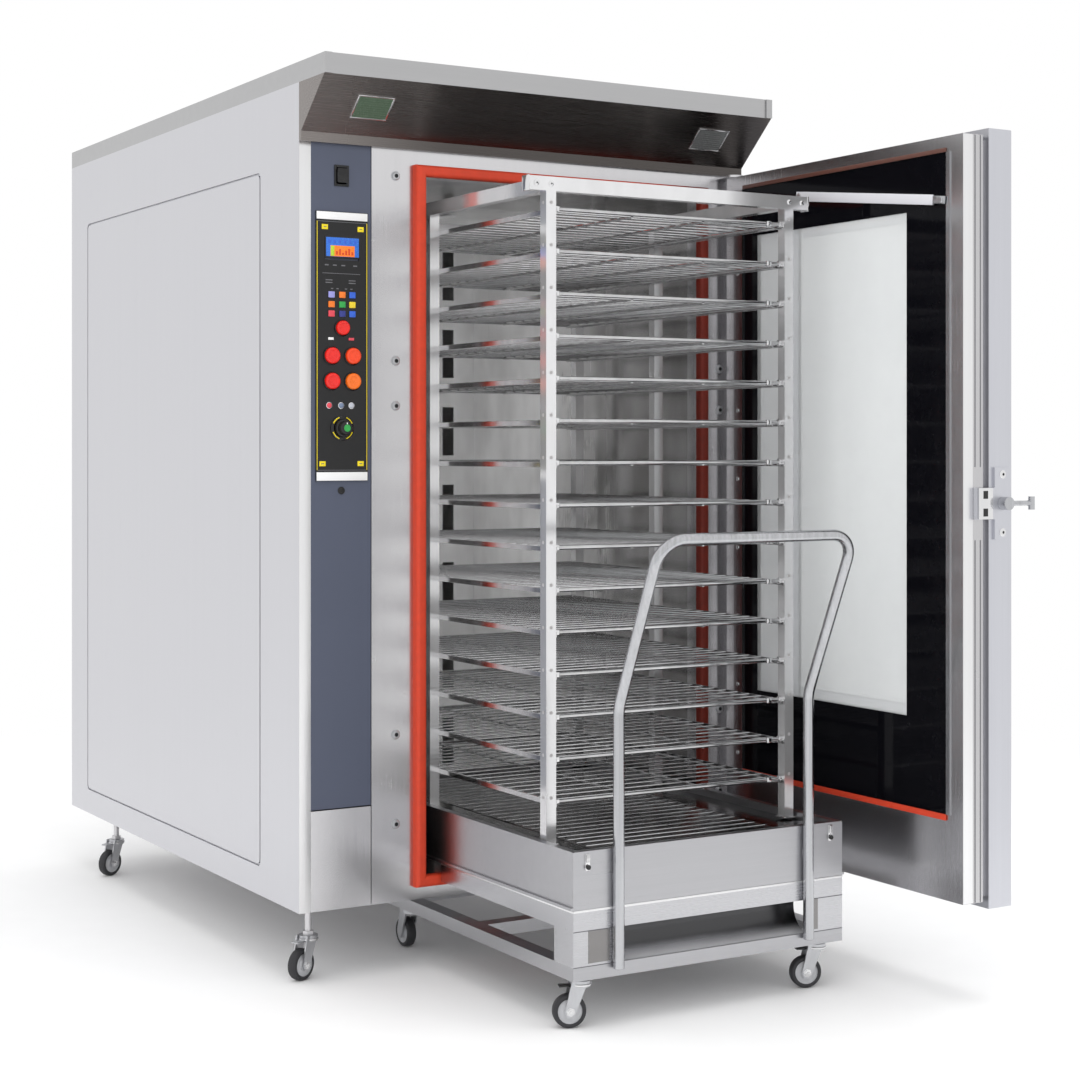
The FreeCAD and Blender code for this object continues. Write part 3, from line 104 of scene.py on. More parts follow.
class OvenSizes(bpy.types.PropertyGroup):
    wire: length("Shelf wire", "Radius of the thin shelf wires", 0.0024)
    edge_wire: length("Edge wire", "Radius of the wires round a shelf", 0.0036)
    shelf_wires: IntProperty(name="Wires on a shelf", description="Thin wires across one shelf",
                             default=20, min=4, max=90)
    floor_ribs: IntProperty(name="Ribs of the base floor", description="Ribs across the base's plate",
                            default=26, min=8, max=120)
    rib: length("Rib", "Radius of the ribs on the base's plate", 0.0034)
    bolt: length("Bolt head", "Radius of the bolt heads on the front", 0.0095)
    screw: length("Screw head", "Radius of the small screw heads", 0.0055)


class OvenStage(bpy.types.PropertyGroup):
    floor: colour("Floor", "Plain pale floor", (0.94, 0.94, 0.94))
    ambient: FloatProperty(name="Ambient", description="Level of the even light", default=1.0, min=0.0)
    key: power("Key light", "Power of the lamp at the left", 90.0)
    fill: power("Fill light", "Power of the lamp at the right", 40.0)
    top: power("Top light", "Power of the lamp above", 150.0)
    chamber: power("Chamber light", "Power of the strip lamp behind the doorway", 2.4)
    lens: FloatProperty(name="Lens", description="Focal length on a 36 mm sensor", default=67.64,
                        min=10.0, subtype="DISTANCE_CAMERA")


class Value:
    """A shader socket that takes part in sums: each operator adds a Math node to its tree."""

    def __init__(self, finish, socket):
        self.finish = finish
        self.socket = socket

    def math(self, operation, *others):
        names = dict(enumerate((self,) + others))
        return self.finish.node("ShaderNodeMath", names, operation=operation)["Value"]

    def __add__(self, other):
        return self.math("ADD", other)

    __radd__ = __add__

    def __mul__(self, other):
        return self.math("MULTIPLY", other)

    __rmul__ = __mul__

    def __sub__(self, other):
        return self.math("SUBTRACT", other)

    def __rsub__(self, other):
        return self * -1.0 + other

    def step(self, low, high):
        """0 below low, 1 above high, smooth between."""
        sockets = {"Value": self, "From Min": low, "From Max": high}
        return self.finish.node("ShaderNodeMapRange", sockets, interpolation_type="SMOOTHSTEP")["Result"]

    def within(self, low, high, soft):
        """1 between two places and 0 outside them, with soft edges."""
        return self.step(low - soft, low + soft) * (1 - self.step(high - soft, high + soft))


class Added:
    """A node just added, which gives its outputs by name."""

    def __init__(self, finish, node):
        self.finish = finish
        self.node = node

    def __getitem__(self, name):
        return Value(self.finish, self.node.outputs[name])


class Finish:
    """A material or a background that is being written, with the few parts that most finishes share."""

    def __init__(self, name, tree=None):
        if tree is None:
            material = bpy.data.materials.new(name + "_finish")
            material.use_nodes = True
            FINISHES[name] = material
            tree = material.node_tree
        self.tree = tree
        self.tree.nodes.clear()

    def fill(self, socket, value):
        """Links a value to a socket, or sets a plain number or colour on it."""
        if isinstance(value, Value):
            self.tree.links.new(value.socket, socket)
        else:
            socket.default_value = tuple(value) + (1.0,) if socket.type == "RGBA" else value

    def node(self, kind, sockets=None, **choices):
        """Adds a node: first what is chosen on it, then the numbers or links of its sockets."""
        node = self.tree.nodes.new(kind)
        for name, value in choices.items():
            setattr(node, name, value)
        for name, value in (sockets or {}).items():
            self.fill(node.inputs[name], value)
        return Added(self, node)

    def place(self):
        """The point on the piece, in metres in the shared frame, which moves with the piece."""
        return self.node("ShaderNodeTexCoord")["Object"]

    def along(self, vector, axis):
        return self.node("ShaderNodeSeparateXYZ", {"Vector": vector})[axis]

    def noise(self, vector, scale, detail=3.0, stretch=None):
        if stretch is not None:
            scaled = self.node("ShaderNodeVectorMath", {0: vector, 1: stretch}, operation="MULTIPLY")
            vector = scaled["Vector"]
        sockets = {"Vector": vector, "Scale": scale, "Detail": detail, "Roughness": 0.55}
        return self.node("ShaderNodeTexNoise", sockets, normalize=True)["Fac"]

    def lines(self, vector, axis):
        """The fine lines that brushing leaves along an axis."""
        return self.noise(vector, 620.0, 4.0, GRAIN[axis])

    def mix(self, share, first, second):
        """A colour between two others."""
        node = self.tree.nodes.new("ShaderNodeMix")
        node.data_type = "RGBA"
        for name, value in {"Factor": share, "A": first, "B": second}.items():
            wanted = "VALUE" if name == "Factor" else "RGBA"
            self.fill(next(s for s in node.inputs if s.name == name and s.type == wanted), value)
        return Value(self, next(s for s in node.outputs if s.type == "RGBA"))

    def tones(self, share, tint, first, second):
        """A colour between two tones of one tint."""
        return self.mix(share, shade(tint, first), shade(tint, second))

    def bump(self, height, strength, distance):
        sockets = {"Height": height, "Strength": strength, "Distance": distance}
        return self.node("ShaderNodeBump", sockets)["Normal"]

    def seen(self):
        """1 for rays from the camera, off gloss or through glass, and 0 for the light on the oven."""
        rays = self.node("ShaderNodeLightPath")
        seen = rays["Is Camera Ray"].math("MAXIMUM", rays["Is Glossy Ray"])
        return seen.math("MAXIMUM", rays["Is Transmission Ray"])

    def surface(self, base, roughness, more):
        """The main shader: its colour, its roughness and what else a finish sets."""
        sockets = {"Base Color": base, "Roughness": roughness, **more}
        return self.node("ShaderNodeBsdfPrincipled", sockets)["BSDF"]

    def end(self, shader):
        self.node("ShaderNodeOutputMaterial", {"Surface": shader})

    def metal(self, base, roughness, metallic, normal):
        self.end(self.surface(base, roughness, {"Metallic": metallic, "Normal": normal}))


def shade(tint, factor):
    return tuple(min(1.0, channel * factor) for channel in tint)


def begun(name):
    """A new finish and the point on the piece."""
    f = Finish(name)
    return f, f.place()


GRAIN = {"X": (0.012, 1.0, 1.0), "Y": (1.0, 0.012, 1.0), "Z": (1.0, 1.0, 0.012)}


def brushed(name, tint, rough, along, depth=0.16, cloud=0.10):
    """Brushed sheet steel: fine lines along one axis, slow clouds and a few handling marks."""
    f, spot = begun(name)
    lines = f.lines(spot, along)
    bands = f.noise(spot, 46.0, 2.0, GRAIN[along])
    clouds = f.noise(spot, 2.1, 4.0)
    marks = f.noise(spot, 14.0, 5.0).step(0.62, 0.78)
    tone = lines * depth + bands * (0.7 * depth) + clouds * cloud
    tone = tone - (0.5 * (1.7 * depth + cloud) - 0.5)
    roughness = lines * 0.14 + clouds * 0.10 + marks * 0.05 + (rough - 0.12)
    f.metal(f.tones(tone, tint, 0.72, 1.28), roughness, 1.0, f.bump(lines + bands * 0.6, 0.05, 0.0004))


def canopy(name, tint, left, right):
    """Hood steel with a painted reflection: pale towards its left end, fading to its own dark tone over the
    doorway.
    """
    f, spot = begun(name)
    lines = f.lines(spot, "X")
    clouds = f.noise(spot, 3.0, 4.0, (0.5, 1.0, 1.0))
    # Painted reflection: 0 at the left end, where the steel is drawn 2.4 times paler, and 1 over the doorway
    painted_reflection_fade = (f.along(spot, "X") + (clouds - 0.5) * 0.24).step(left, right)
    base = f.tones(painted_reflection_fade * 0.86 + lines * 0.14, tint, 2.4, 0.86)
    roughness = lines * 0.14 + clouds * 0.10 + 0.14
    f.metal(base, roughness, 1.0 - 0.35 * (1 - painted_reflection_fade), f.bump(lines, 0.05, 0.0004))


def chamber_painted_light(name, tint, front, back):
    """Chamber steel with painted light: soft bright and dark blots all over as painted reflections, and
    painted shade that makes it darker and shinier near the doorway than at the back, where it is paler.
    """
    f, spot = begun(name)
    lines = f.lines(spot, "Z")
    # Painted reflections: soft bright and dark blots
    painted_reflection_blots = f.noise(spot, 5.0, 3.0, (1.0, 1.0, 0.55)).step(0.34, 0.66)
    # Painted shade near the doorway and painted light at the back, by depth along Y
    deep = f.along(spot, "Y").step(front, back)
    base = f.tones(deep * 0.60 + painted_reflection_blots * 0.32 + lines * 0.08, tint, 0.40, 1.90)
    roughness = lines * 0.10 + painted_reflection_blots * 0.08 + deep * 0.12 + 0.12
    f.metal(base, roughness, 0.84 - deep * 0.62, f.bump(lines, 0.04, 0.0004))


def pan_painted_light(name, tint, bottom, top):
    """Pan steel with painted light: a painted highlight low down and painted shade above it, where it is
    dark and more metallic.
    """
    f, spot = begun(name)
    lines = f.lines(spot, "X")
    clouds = f.noise(spot, 6.0, 4.0, (0.4, 1.0, 1.0))
    # Painted shade above the step and a painted highlight below it, along Z
    pan_painted_shade = (f.along(spot, "Z") + clouds * 0.012).step(bottom, top)
    roughness = lines * 0.10 + clouds * 0.08 + 0.14
    f.metal(f.tones(pan_painted_shade, tint, 1.5, 0.16), roughness, 0.35 + pan_painted_shade * 0.6, f.bump(lines, 0.04, 0.0004))


def polished(name, tint, rough, swirl=30.0, uneven=0.14, stretch=(1.0, 1.0, 0.25), metal=1.0):
    """Drawn or plated bright metal with faint die lines and wiping marks."""
    f, spot = begun(name)
    fine = f.noise(spot, 900.0, 2.0)
    wipe = f.noise(spot, swirl, 4.0, stretch)
    base = f.tones(wipe, tint, 1.0 - 1.3 * uneven, 1.0 + 0.7 * uneven)
    roughness = fine * 0.06 + wipe * 0.10 + (rough - 0.08)
    f.metal(base, roughness, metal, f.bump(fine + wipe, 0.03, 0.0003))


def painted(name, tint, rough, peel=0.06):
    """Powder paint with a slight orange peel and a little unevenness."""
    f, spot = begun(name)
    grain = f.noise(spot, 520.0, 2.0)
    cloud = f.noise(spot, 4.0, 4.0)
    base = f.tones(cloud * 0.7 + grain * 0.3, tint, 0.90, 1.10)
    roughness = grain * 0.10 + cloud * 0.08 + (rough - 0.09)
    f.end(f.surface(base, roughness, {"Normal": f.bump(grain, peel, 0.0006), "Specular IOR Level": 0.5}))


def moulded(name, tint, rough, grain_size=700.0, coat=0.0, painted_shade_span=None):
    """Moulded plastic or rubber with a fine spark grain; painted shade can darken it past a span along X."""
    f, spot = begun(name)
    grain = f.noise(spot, grain_size, 3.0)
    wear = f.noise(spot, 60.0, 4.0)
    base = f.tones(wear, tint, 0.86, 1.14)
    # Painted shade: darker past the span along X
    if painted_shade_span:
        base = f.mix(f.along(spot, "X").step(*painted_shade_span), base, f.tones(wear, tint, 0.20, 0.36))
    roughness = grain * 0.12 + wear * 0.10 + (rough - 0.11)
    f.end(f.surface(base, roughness, {"Normal": f.bump(grain, 0.10, 0.0003), "Coat Weight": coat}))


def lit(name, tint, glow):
    """A lit screen or lamp cap: coloured plastic that also glows a little."""
    f, spot = begun(name)
    cells = f.noise(spot, 420.0, 2.0)
    base = f.tones(cells, tint, 0.8, 1.1)
    f.end(f.surface(base, cells * 0.1 + 0.22, {"Emission Color": base, "Emission Strength": glow}))


def door_pane(name, tint, window):
    """Toughened glass with a black printed border, hazy and half clear inside the window's edges."""
    f, spot = begun(name)
    (y0, z0), (y1, z1) = window
    soft = 0.0006
    clear = f.along(spot, "Y").within(y0, y1, soft) * f.along(spot, "Z").within(z0, z1, soft)
    haze = f.noise(spot, 3.0, 4.0)
    film = f.noise(spot, 40.0, 5.0)
    pale = f.mix(haze, (0.84, 0.86, 0.87), (0.94, 0.96, 0.96))
    base = f.mix(clear, f.tones(film, tint, 0.8, 1.3), pale)
    roughness = film * 0.04 + haze * 0.03 + 0.03
    alpha = 1 - clear * (0.62 - 0.06 * haze)
    f.end(f.surface(base, roughness, {"Alpha": alpha, "IOR": 1.5, "Specular IOR Level": 0.08}))


def floor_finish(name, tint):
    """A pale floor that keeps the shadow near the oven and runs out into the white background."""
    f, spot = begun(name)
    x, y = f.along(spot, "X"), f.along(spot, "Y") + 0.45
    away = (x * x + y * y).math("POWER", 0.5).step(1.9, 4.2)
    base = f.tones(f.noise(spot, 9.0, 4.0), tint, 0.985, 1.015)
    ground = f.surface(base, 0.7, {"Specular IOR Level": 0.15})
    white = f.node("ShaderNodeEmission", {"Color": WHITE, "Strength": 1.0})["Emission"]
    f.end(f.node("ShaderNodeMixShader", {0: f.seen() * away, 1: ground, 2: white})["Shader"])


def set_down(name, data, body, stands_for):
    """Makes the object, sets it on its body and hides the CAD nodes it stands for."""
    thing = bpy.data.objects.new(name, data)
    bpy.context.scene.collection.objects.link(thing)
    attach(thing, body)
    if stands_for:
        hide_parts(*stands_for)


class Builder:
    """Gathers turned, bent and bevelled forms into one mesh piece."""

    def __init__(self, name):
        self.name = name
        self.mesh = bmesh.new()
        self.done = self.mesh.faces.layers.int.new("painted")
        self.finishes = []

    def fresh(self):
        return [face for face in self.mesh.faces if not face[self.done]]

    def paint(self, finish):
        """Gives the faces made since the last call their finish."""
        if finish not in self.finishes:
            self.finishes.append(finish)
        index = self.finishes.index(finish)
        for face in self.fresh():
            face.material_index = index
            face[self.done] = 1

    def block(self, low, high, finish, bevel=0.0008, segments=2, turn=None):
        """A box between two corners with bevelled edges."""
        low, high = Vector(low), Vector(high)
        made = bmesh.ops.create_cube(self.mesh, size=1.0)["verts"]
        size = high - low
        for vert in made:
            vert.co = middle(low, high) + Vector(vert.co[i] * size[i] for i in range(3))
        edges = list(dict.fromkeys(edge for vert in made for edge in vert.link_edges))
        bmesh.ops.bevel(self.mesh, geom=edges, offset=min(bevel, 0.45 * min(size)), segments=segments,
                        profile=0.5, affect="EDGES")
        if turn is not None:
            for vert in {vert for face in self.fresh() for vert in face.verts}:
                vert.co = turn @ vert.co
        self.paint(finish)

    def ring(self, centre, side, other, radius, sides):
        """Points round a circle, or its centre alone where the radius is nothing."""
        if radius < 1e-7:
            return [self.mesh.verts.new(centre)]
        angles = [2 * math.pi * i / sides for i in range(sides)]
        return [self.mesh.verts.new(centre + radius * (side * math.cos(angle) + other * math.sin(angle)))
                for angle in angles]

    def skin(self, a, b, sides):
        """Faces between two rings, either of which may be one point."""
        for i in range(sides):
            j = (i + 1) % sides
            corners = dict.fromkeys((a[i % len(a)], a[j % len(a)], b[j % len(b)], b[i % len(b)]))
            if len(corners) > 2:
                self.mesh.faces.new(list(corners))

    def turned(self, profile, origin, axis, finish, sides=32, bands=None):
        """Turns (radius, height) steps about an axis; bands gives some steps a finish of their own."""
        axis, origin = Vector(axis).normalized(), Vector(origin)
        side = axis.orthogonal().normalized()
        other = axis.cross(side)
        rings = [self.ring(origin + axis * height, side, other, radius, sides) for radius, height in profile]
        for step, (a, b) in enumerate(zip(rings, rings[1:])):
            self.skin(a, b, sides)
            self.paint((bands or {}).get(step, finish))

    def screw(self, place, axis, r, sides=16, tall=1.0):
        """A screw head of radius r with painted shade in its recess."""
        head = ((r, 0.0), (r, 0.0008), (0.8 * r, 0.0018), (0.34 * r, 0.0022), (0.30 * r, 0.0012),
                (0.0, 0.0012))
        # The recess floor is painted shade
        self.turned([(q, tall * h) for q, h in head], place, axis, "bright_trim", sides, {4: "dark_gap"})

    def tube(self, points, radius, finish, sides=20):
        """A round tube along the points, without twist and with closed ends."""
        points = [Vector(p) for p in points]
        rings = []
        side = None
        for i, point in enumerate(points):
            along = (points[min(i + 1, len(points) - 1)] - points[max(i - 1, 0)]).normalized()
            side = (along.orthogonal() if side is None else side - along * side.dot(along)).normalized()
            rings.append(self.ring(point, side, along.cross(side), radius, sides))
        for a, b in zip(rings, rings[1:]):
            self.skin(a, b, sides)
        self.mesh.faces.new(rings[0][::-1])
        self.mesh.faces.new(rings[-1])
        self.paint(finish)

    def piece(self, body, slot, *stands_for):
        """Ends the mesh and sets it down."""
        bmesh.ops.recalc_face_normals(self.mesh, faces=self.mesh.faces)
        data = bpy.data.meshes.new(self.name)
        self.mesh.to_mesh(data)
        self.mesh.free()
        data.shade_smooth()
        data.set_sharp_from_angle(angle=math.radians(38))
        for finish in self.finishes:
            data.materials.append(FINISHES[finish])
        set_down(self.name, data, body, stands_for)


def wires(name, runs, radius, finish, body, slot, *stands_for):
    """Round wires, one straight run each, in one curve piece."""
    data = bpy.data.curves.new(name, "CURVE")
    data.dimensions = "3D"
    data.bevel_depth = radius
    data.bevel_resolution = 2
    data.use_fill_caps = True
    for run in runs:
        line = data.splines.new("POLY")
        line.points.add(len(run) - 1)
        for point, spot in zip(line.points, run):
            point.co = tuple(spot) + (1.0,)
    data.materials.append(FINISHES[finish])
    set_down(name, data, body, stands_for)


def rounded(points, bends, steps):
    """The points with an arc of the given radius in place of each inner corner."""
    points = [Vector(p) for p in points]
    path = [points[0]]
    for before, corner, after, bend in zip(points, points[1:], points[2:], bends):
        u = (before - corner).normalized()
        w = (after - corner).normalized()
        half = u.angle(w) / 2
        centre = corner + (u + w).normalized() * (bend / math.sin(half))
        start, end = (corner + way * (bend / math.tan(half)) - centre for way in (u, w))
        turn = start.angle(end)
        for t in spread(0.0, 1.0, steps + 1):
            spoke = start * math.sin((1 - t) * turn) + end * math.sin(t * turn)
            path.append(centre + spoke / math.sin(turn))
    return path + [points[-1]]


def spread(first, last, count):
    """Places at even steps from first to last."""
    return [first + (last - first) * i / (count - 1) for i in range(count)]


def middle(low, high):
    return (low + high) / 2


def mm(*values):
    """A point given in millimetres."""
    return Vector([value / 1000 for value in values])


def settings(group):
    """One of the groups of settings, as it stands in the scene."""
    return getattr(bpy.context.scene, "rack_oven_" + group)


FINISH_OF_NODE = {
    "satin_side": ("left_side_panel", "access_panel", "right_side_panel", "back_panel"),
    "brushed_roof": ("roof_panel",),
    "polished_hood": ("hood_canopy",),
    "brushed_front": ("front_frame", "kick_cover", "hinge_brackets"),
    "chamber_steel": ("chamber_liner", "rear_baffle"),
    "frame_steel": ("base_frame", "flue_spigot"),
    "column_paint": ("control_column",),
    "fascia_black": ("control_fascia",),
    "knob_black": ("rocker_switch",),
    "doorway_silicone": ("opening_gasket",),
    "door_inner_steel": ("door_plug",),
    "door_outer_steel": ("door_slab", "latch_plate"),
    "door_pane": ("door_glass",),
    "handle_steel": ("glass_trim", "latch_lever"),
    "cart_steel": ("cart_chassis", "base_box"),
    "rim_steel": ("cart_rim",),
    "pan_steel": ("drip_pan",),
    "bright_rack": ("rack_frame",),
    "heater_tube": ("heating_elements",),
    "motor_grey": ("fan_motor",),
    "fan_steel": ("fan_impeller",),
    "zinc_plate": ("oven_fork_front_left", "oven_fork_front_right", "oven_fork_rear_left",
                   "oven_fork_rear_right", "cart_fork_front_left", "cart_fork_front_right",
                   "cart_rear_forks"),
}

# Screen values of the paints that aren't settings, with their roughness; the near-black one is painted shade
# in recesses and slots, and the pale grey one painted shade for holes
PAINTS = {"motor_grey": ((96, 100, 104), 0.46), "strip_white": ((236, 236, 236), 0.38),
          "line_grey": ((104, 104, 108), 0.40), "arm_white": ((214, 214, 219), 0.34),
          "seal_brown": ((92, 56, 46), 0.44), "dark_gap": ((30, 30, 31), 0.60),
          "hole_grey": ((160, 158, 158), 0.50)}
KEY_TINTS = {"key_lilac": (150, 150, 214), "key_orange": (238, 120, 30), "key_blue": (44, 96, 206),
             "key_green": (40, 160, 70), "key_yellow": (232, 204, 40), "key_pink": (222, 70, 84),
             "key_navy": (40, 52, 132), "key_slate": (112, 128, 156), "key_pale": (186, 190, 200)}
SCREEN_TINTS = {"screen_blue": (44, 104, 196), "screen_orange": (236, 122, 34),
                "screen_green": (168, 196, 48), "screen_red": (196, 62, 22)}


class OVEN_OT_finishes(bpy.types.Operator):
    """Writes the finishes and gives each CAD node its own"""
    bl_idname = "rack_oven.finishes"
    bl_label = "Finishes"

    def execute(self, context):
        tints = settings("finishes")
        self.metals(tints)
        painted("column_paint", tints.paint, 0.40)
        painted("fascia_black", tints.fascia, 0.36, 0.08)
        painted("fascia_gloss", tints.fascia, 0.20, 0.03)
        for name, (tint, rough) in PAINTS.items():
            painted(name, linear(*tint), rough)
        moulded("gasket_silicone", tints.silicone, 0.62, 900.0)
        # Painted shade darkens the doorway gasket towards the hinge side
        moulded("doorway_silicone", tints.silicone, 0.61, 900.0, painted_shade_span=(0.30, 0.50))
        moulded("ring_yellow", tints.yellow, 0.36)
        for cap in ("red", "orange", "amber"):
            moulded("cap_" + cap, getattr(tints, cap), 0.28, 900.0, 0.25)
        moulded("tyre_rubber", tints.tyre, 0.62, 1400.0)
        moulded("hub_grey", tints.hub, 0.44)
        moulded("knob_black", linear(24, 24, 25), 0.40)
        for key, tint in KEY_TINTS.items():
            moulded(key, linear(*tint), 0.36, 900.0, 0.15)
        for screen, tint in SCREEN_TINTS.items():
            lit(screen, linear(*tint), 0.25)
        lit("lens_green", linear(80, 99, 80), 0.03)
        lit("lens_grey", linear(96, 98, 98), 0.03)
        door_pane("door_pane", tints.print_black, self.window())
        for finish, nodes in FINISH_OF_NODE.items():
            for node in nodes:
                slots = NODES[node].data.materials
                slots.clear()
                slots.append(FINISHES[finish])
        return {"FINISHED"}

    def metals(self, tints):
        brushed("satin_side", tints.side, 0.42, "Z", 0.05, 0.07)
        brushed("brushed_roof", tints.roof, 0.34, "X", 0.18)
        brushed("brushed_front", tints.front, 0.24, "Z", 0.18, 0.12)
        brushed("frame_steel", tints.front, 0.40, "X")
        brushed("door_inner_steel", shade(tints.front, 0.86), 0.24, "Z", 0.11, 0.16)
        brushed("door_outer_steel", tints.door, 0.34, "Z", 0.14)
        brushed("cart_steel", tints.cart, 0.30, "X", 0.20, 0.14)
        # A lighter copy of the cart steel, as a painted highlight on the rim
        brushed("rim_steel", shade(tints.cart, 1.16), 0.26, "X", 0.14, 0.10)
        # Pale strip steel; on the cart rim's lip its brightness is a painted highlight
        brushed("edge_strip", linear(240, 240, 242), 0.34, "Z", 0.10, 0.06)
        brushed("floor_sheet", shade(tints.liner, 0.22), 0.16, "X", 0.20, 0.30)
        # Dark plate steel of the base's ribbed plate, also used as painted shade in the cart rim's recesses
        brushed("floor_plate", shade(tints.liner, 0.34), 0.24, "X", 0.20, 0.20)
        brushed("fan_steel", tints.liner, 0.34, "Y")
        # The hood's pale left end is a painted reflection
        canopy("polished_hood", tints.hood, -0.66, -0.20)
        # The chamber's blots and its dark front are painted reflections and painted shade
        chamber_painted_light("chamber_steel", tints.liner, -0.60, 0.06)
        # The pan's pale lower edge and dark face above are painted highlight and painted shade
        pan_painted_light("pan_steel", tints.cart, 0.146, 0.172)
        polished("bright_trim", tints.bright, 0.16)
        polished("bright_rack", tints.bright, 0.14, 18.0, metal=0.72)
        polished("bright_wire", shade(tints.bright, 0.88), 0.12, 60.0, 0.22)
        polished("bright_rod", shade(tints.bright, 0.80), 0.12, 26.0, 0.30)
        polished("bright_runner", shade(tints.bright, 0.80), 0.16, 40.0, 0.26)
        polished("handle_steel", tints.tube, 0.22, 150.0, 0.26, (1.0, 1.0, 0.02))
        polished("zinc_plate", tints.zinc, 0.34, 90.0)
        polished("heater_tube", shade(tints.liner, 0.45), 0.46, 90.0)

    def window(self):
        """The clear part of the panes, from the print's widths inside the inner pane's edges."""
        low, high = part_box("door_glass")
        return (low.y + 0.140, low.z + 0.210), (high.y - 0.061, high.z - 0.125)


class OVEN_OT_front_bolts(bpy.types.Operator):
    """Socket bolts on the doorway frame with a washer each, and the side panel's bright front edge"""
    bl_idname = "rack_oven.front_bolts"
    bl_label = "Front bolts"

    HEIGHTS = (1.9195, 1.4753, 1.3671, 0.5780, 0.3629)
    INSET = 0.064

    def execute(self, context):
        low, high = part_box("front_frame")
        side_low, side_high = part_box("left_side_panel")
        b = Builder("front_bolts")
        b.block((side_low.x + 0.0004, side_low.y - 0.0008, side_low.z),
                (side_high.x, side_low.y, side_high.z - 0.138), "edge_strip", 0.0003)
        r = settings("sizes").bolt
        head = [(1.25 * r, 0.0), (1.25 * r, 0.0010), (r, 0.0012), (r, 0.0040), (0.88 * r, 0.0050),
                (0.52 * r, 0.0052), (0.48 * r, 0.0026), (0.0, 0.0026)]
        for z in self.HEIGHTS:
            for x in (low.x + self.INSET, high.x - self.INSET):
                # Painted shade in each bolt's socket
                b.turned(head, (x, low.y, z), FRONT, "zinc_plate", 28, {5: "dark_gap", 6: "dark_gap"})
        b.piece("cabinet", "front_steel")
        return {"FINISHED"}


class OVEN_OT_control_face(bpy.types.Operator):
    """Strips, lines, studs, screen and keys on the control plate"""
    bl_idname = "rack_oven.control_face"
    bl_label = "Control face"

    # Places here are in millimetres: left, right, bottom and top, then how far a plate stands out
    SCREEN = ((-571, -480, 1714, 1767, 1.2, "fascia_gloss"), (-568, -483, 1718, 1763, 1.8, "screen_blue"),
              (-557, -494, 1718.5, 1744, 2.2, "screen_orange"),
              (-556.5, -547, 1719, 1743, 2.4, "screen_green"))
    STUDS = ((-571, 1787), (-478, 1785), (-577, 1229), (-478, 1229))
    KEYS = ((1628, ("key_lilac", "key_orange", "key_blue")),
            (1605, ("key_orange", "key_green", "key_yellow")),
            (1583, ("key_pink", "key_navy", "key_blue")))
    KEY_COLUMNS = (-554, -526, -500)
    LAMPS = ((-560, "key_pink"), (-529, "key_slate"), (-502, "key_pale"))
    LAMP_HEIGHT = 1366.5
    DOME = ((0.0078, 0.0), (0.0078, 0.0014), (0.0066, 0.0018), (0.0060, 0.0030), (0.0035, 0.0042),
            (0.0, 0.0045))

    def execute(self, context):
        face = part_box("control_fascia")[0].y
        b = Builder("control_face")

        def plate(x0, x1, z0, z1, rise, finish, bevel=0.0004):
            b.block((x0 / 1000, face - rise / 1000, z0 / 1000), (x1 / 1000, face, z1 / 1000), finish, bevel)

        for z0, z1 in ((1805, 1823), (1189, 1209)):
            plate(-592, -460, z0, z1, 1.0, "strip_white")
        for x in (-591.4, -462.2):
            plate(x, x + 1.6, 1214, 1800, 0.6, "ring_yellow")
        for z in (1213, 1799.4):
            plate(-589, -463, z, z + 1.2, 0.5, "line_grey")
        for x, z in self.STUDS:
            plate(x - 8, x + 8, z - 6, z + 6, 1.6, "ring_yellow", 0.0014)
            plate(x - 4, x + 4, z - 1, z + 1, 1.9, "line_grey")
        for row in self.SCREEN:
            plate(*row)
        self.segments(plate)
        plate(-577, -479, 1677.4, 1678.8, 0.6, "line_grey")
        for z, keys in self.KEYS:
            for x, finish in zip(self.KEY_COLUMNS, keys):
                plate(x - 8.2, x + 8.2, z - 7.4, z + 7.4, 3.0, finish, 0.0026)
        for x, finish in self.LAMPS:
            b.turned(self.DOME, (x / 1000, face, self.LAMP_HEIGHT / 1000), FRONT, finish, 24,
                     {0: "bright_trim", 1: "bright_trim"})
        for x, finish in ((-555, "strip_white"), (-502, "key_pink")):
            plate(x - 7, x + 7, 1521, 1527, 0.8, finish)
        b.piece("cabinet", "key_plastic", "keypad_display")
        return {"FINISHED"}

    def segments(self, plate):
        """Plain bars on the screen and short ticks on the plate round it."""
        for i in range(6):
            plate(-563 + 13.4 * i, -556 + 13.4 * i, 1749, 1758, 2.1, "key_blue")
        for i, tall in enumerate((9, 14, 6, 11, 16, 8)):
            plate(-543 + 8 * i, -538 + 8 * i, 1722, 1722 + tall, 2.5, "screen_red")
        ticks = [(x, 5, 1696, 3) for x in (-566, -545, -523, -492)]
        ticks += [(x, 9, z, 2.4) for x in (-560, -500) for z in (1655, 1661)]
        ticks += [(x, 3, 1641, 2.4) for x in (-552, -538, -516, -502)]
        for x, half, z, tall in ticks:
            plate(x - half, x + half, z, z + tall, 0.6, "line_grey")


def facing(node):
    """Of a round node on the front: its middle across and up, its radius, and its front and back."""
    low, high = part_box(node)
    x, _, z = middle(low, high)
    return x, z, (high.x - low.x) / 2, low.y, high.y


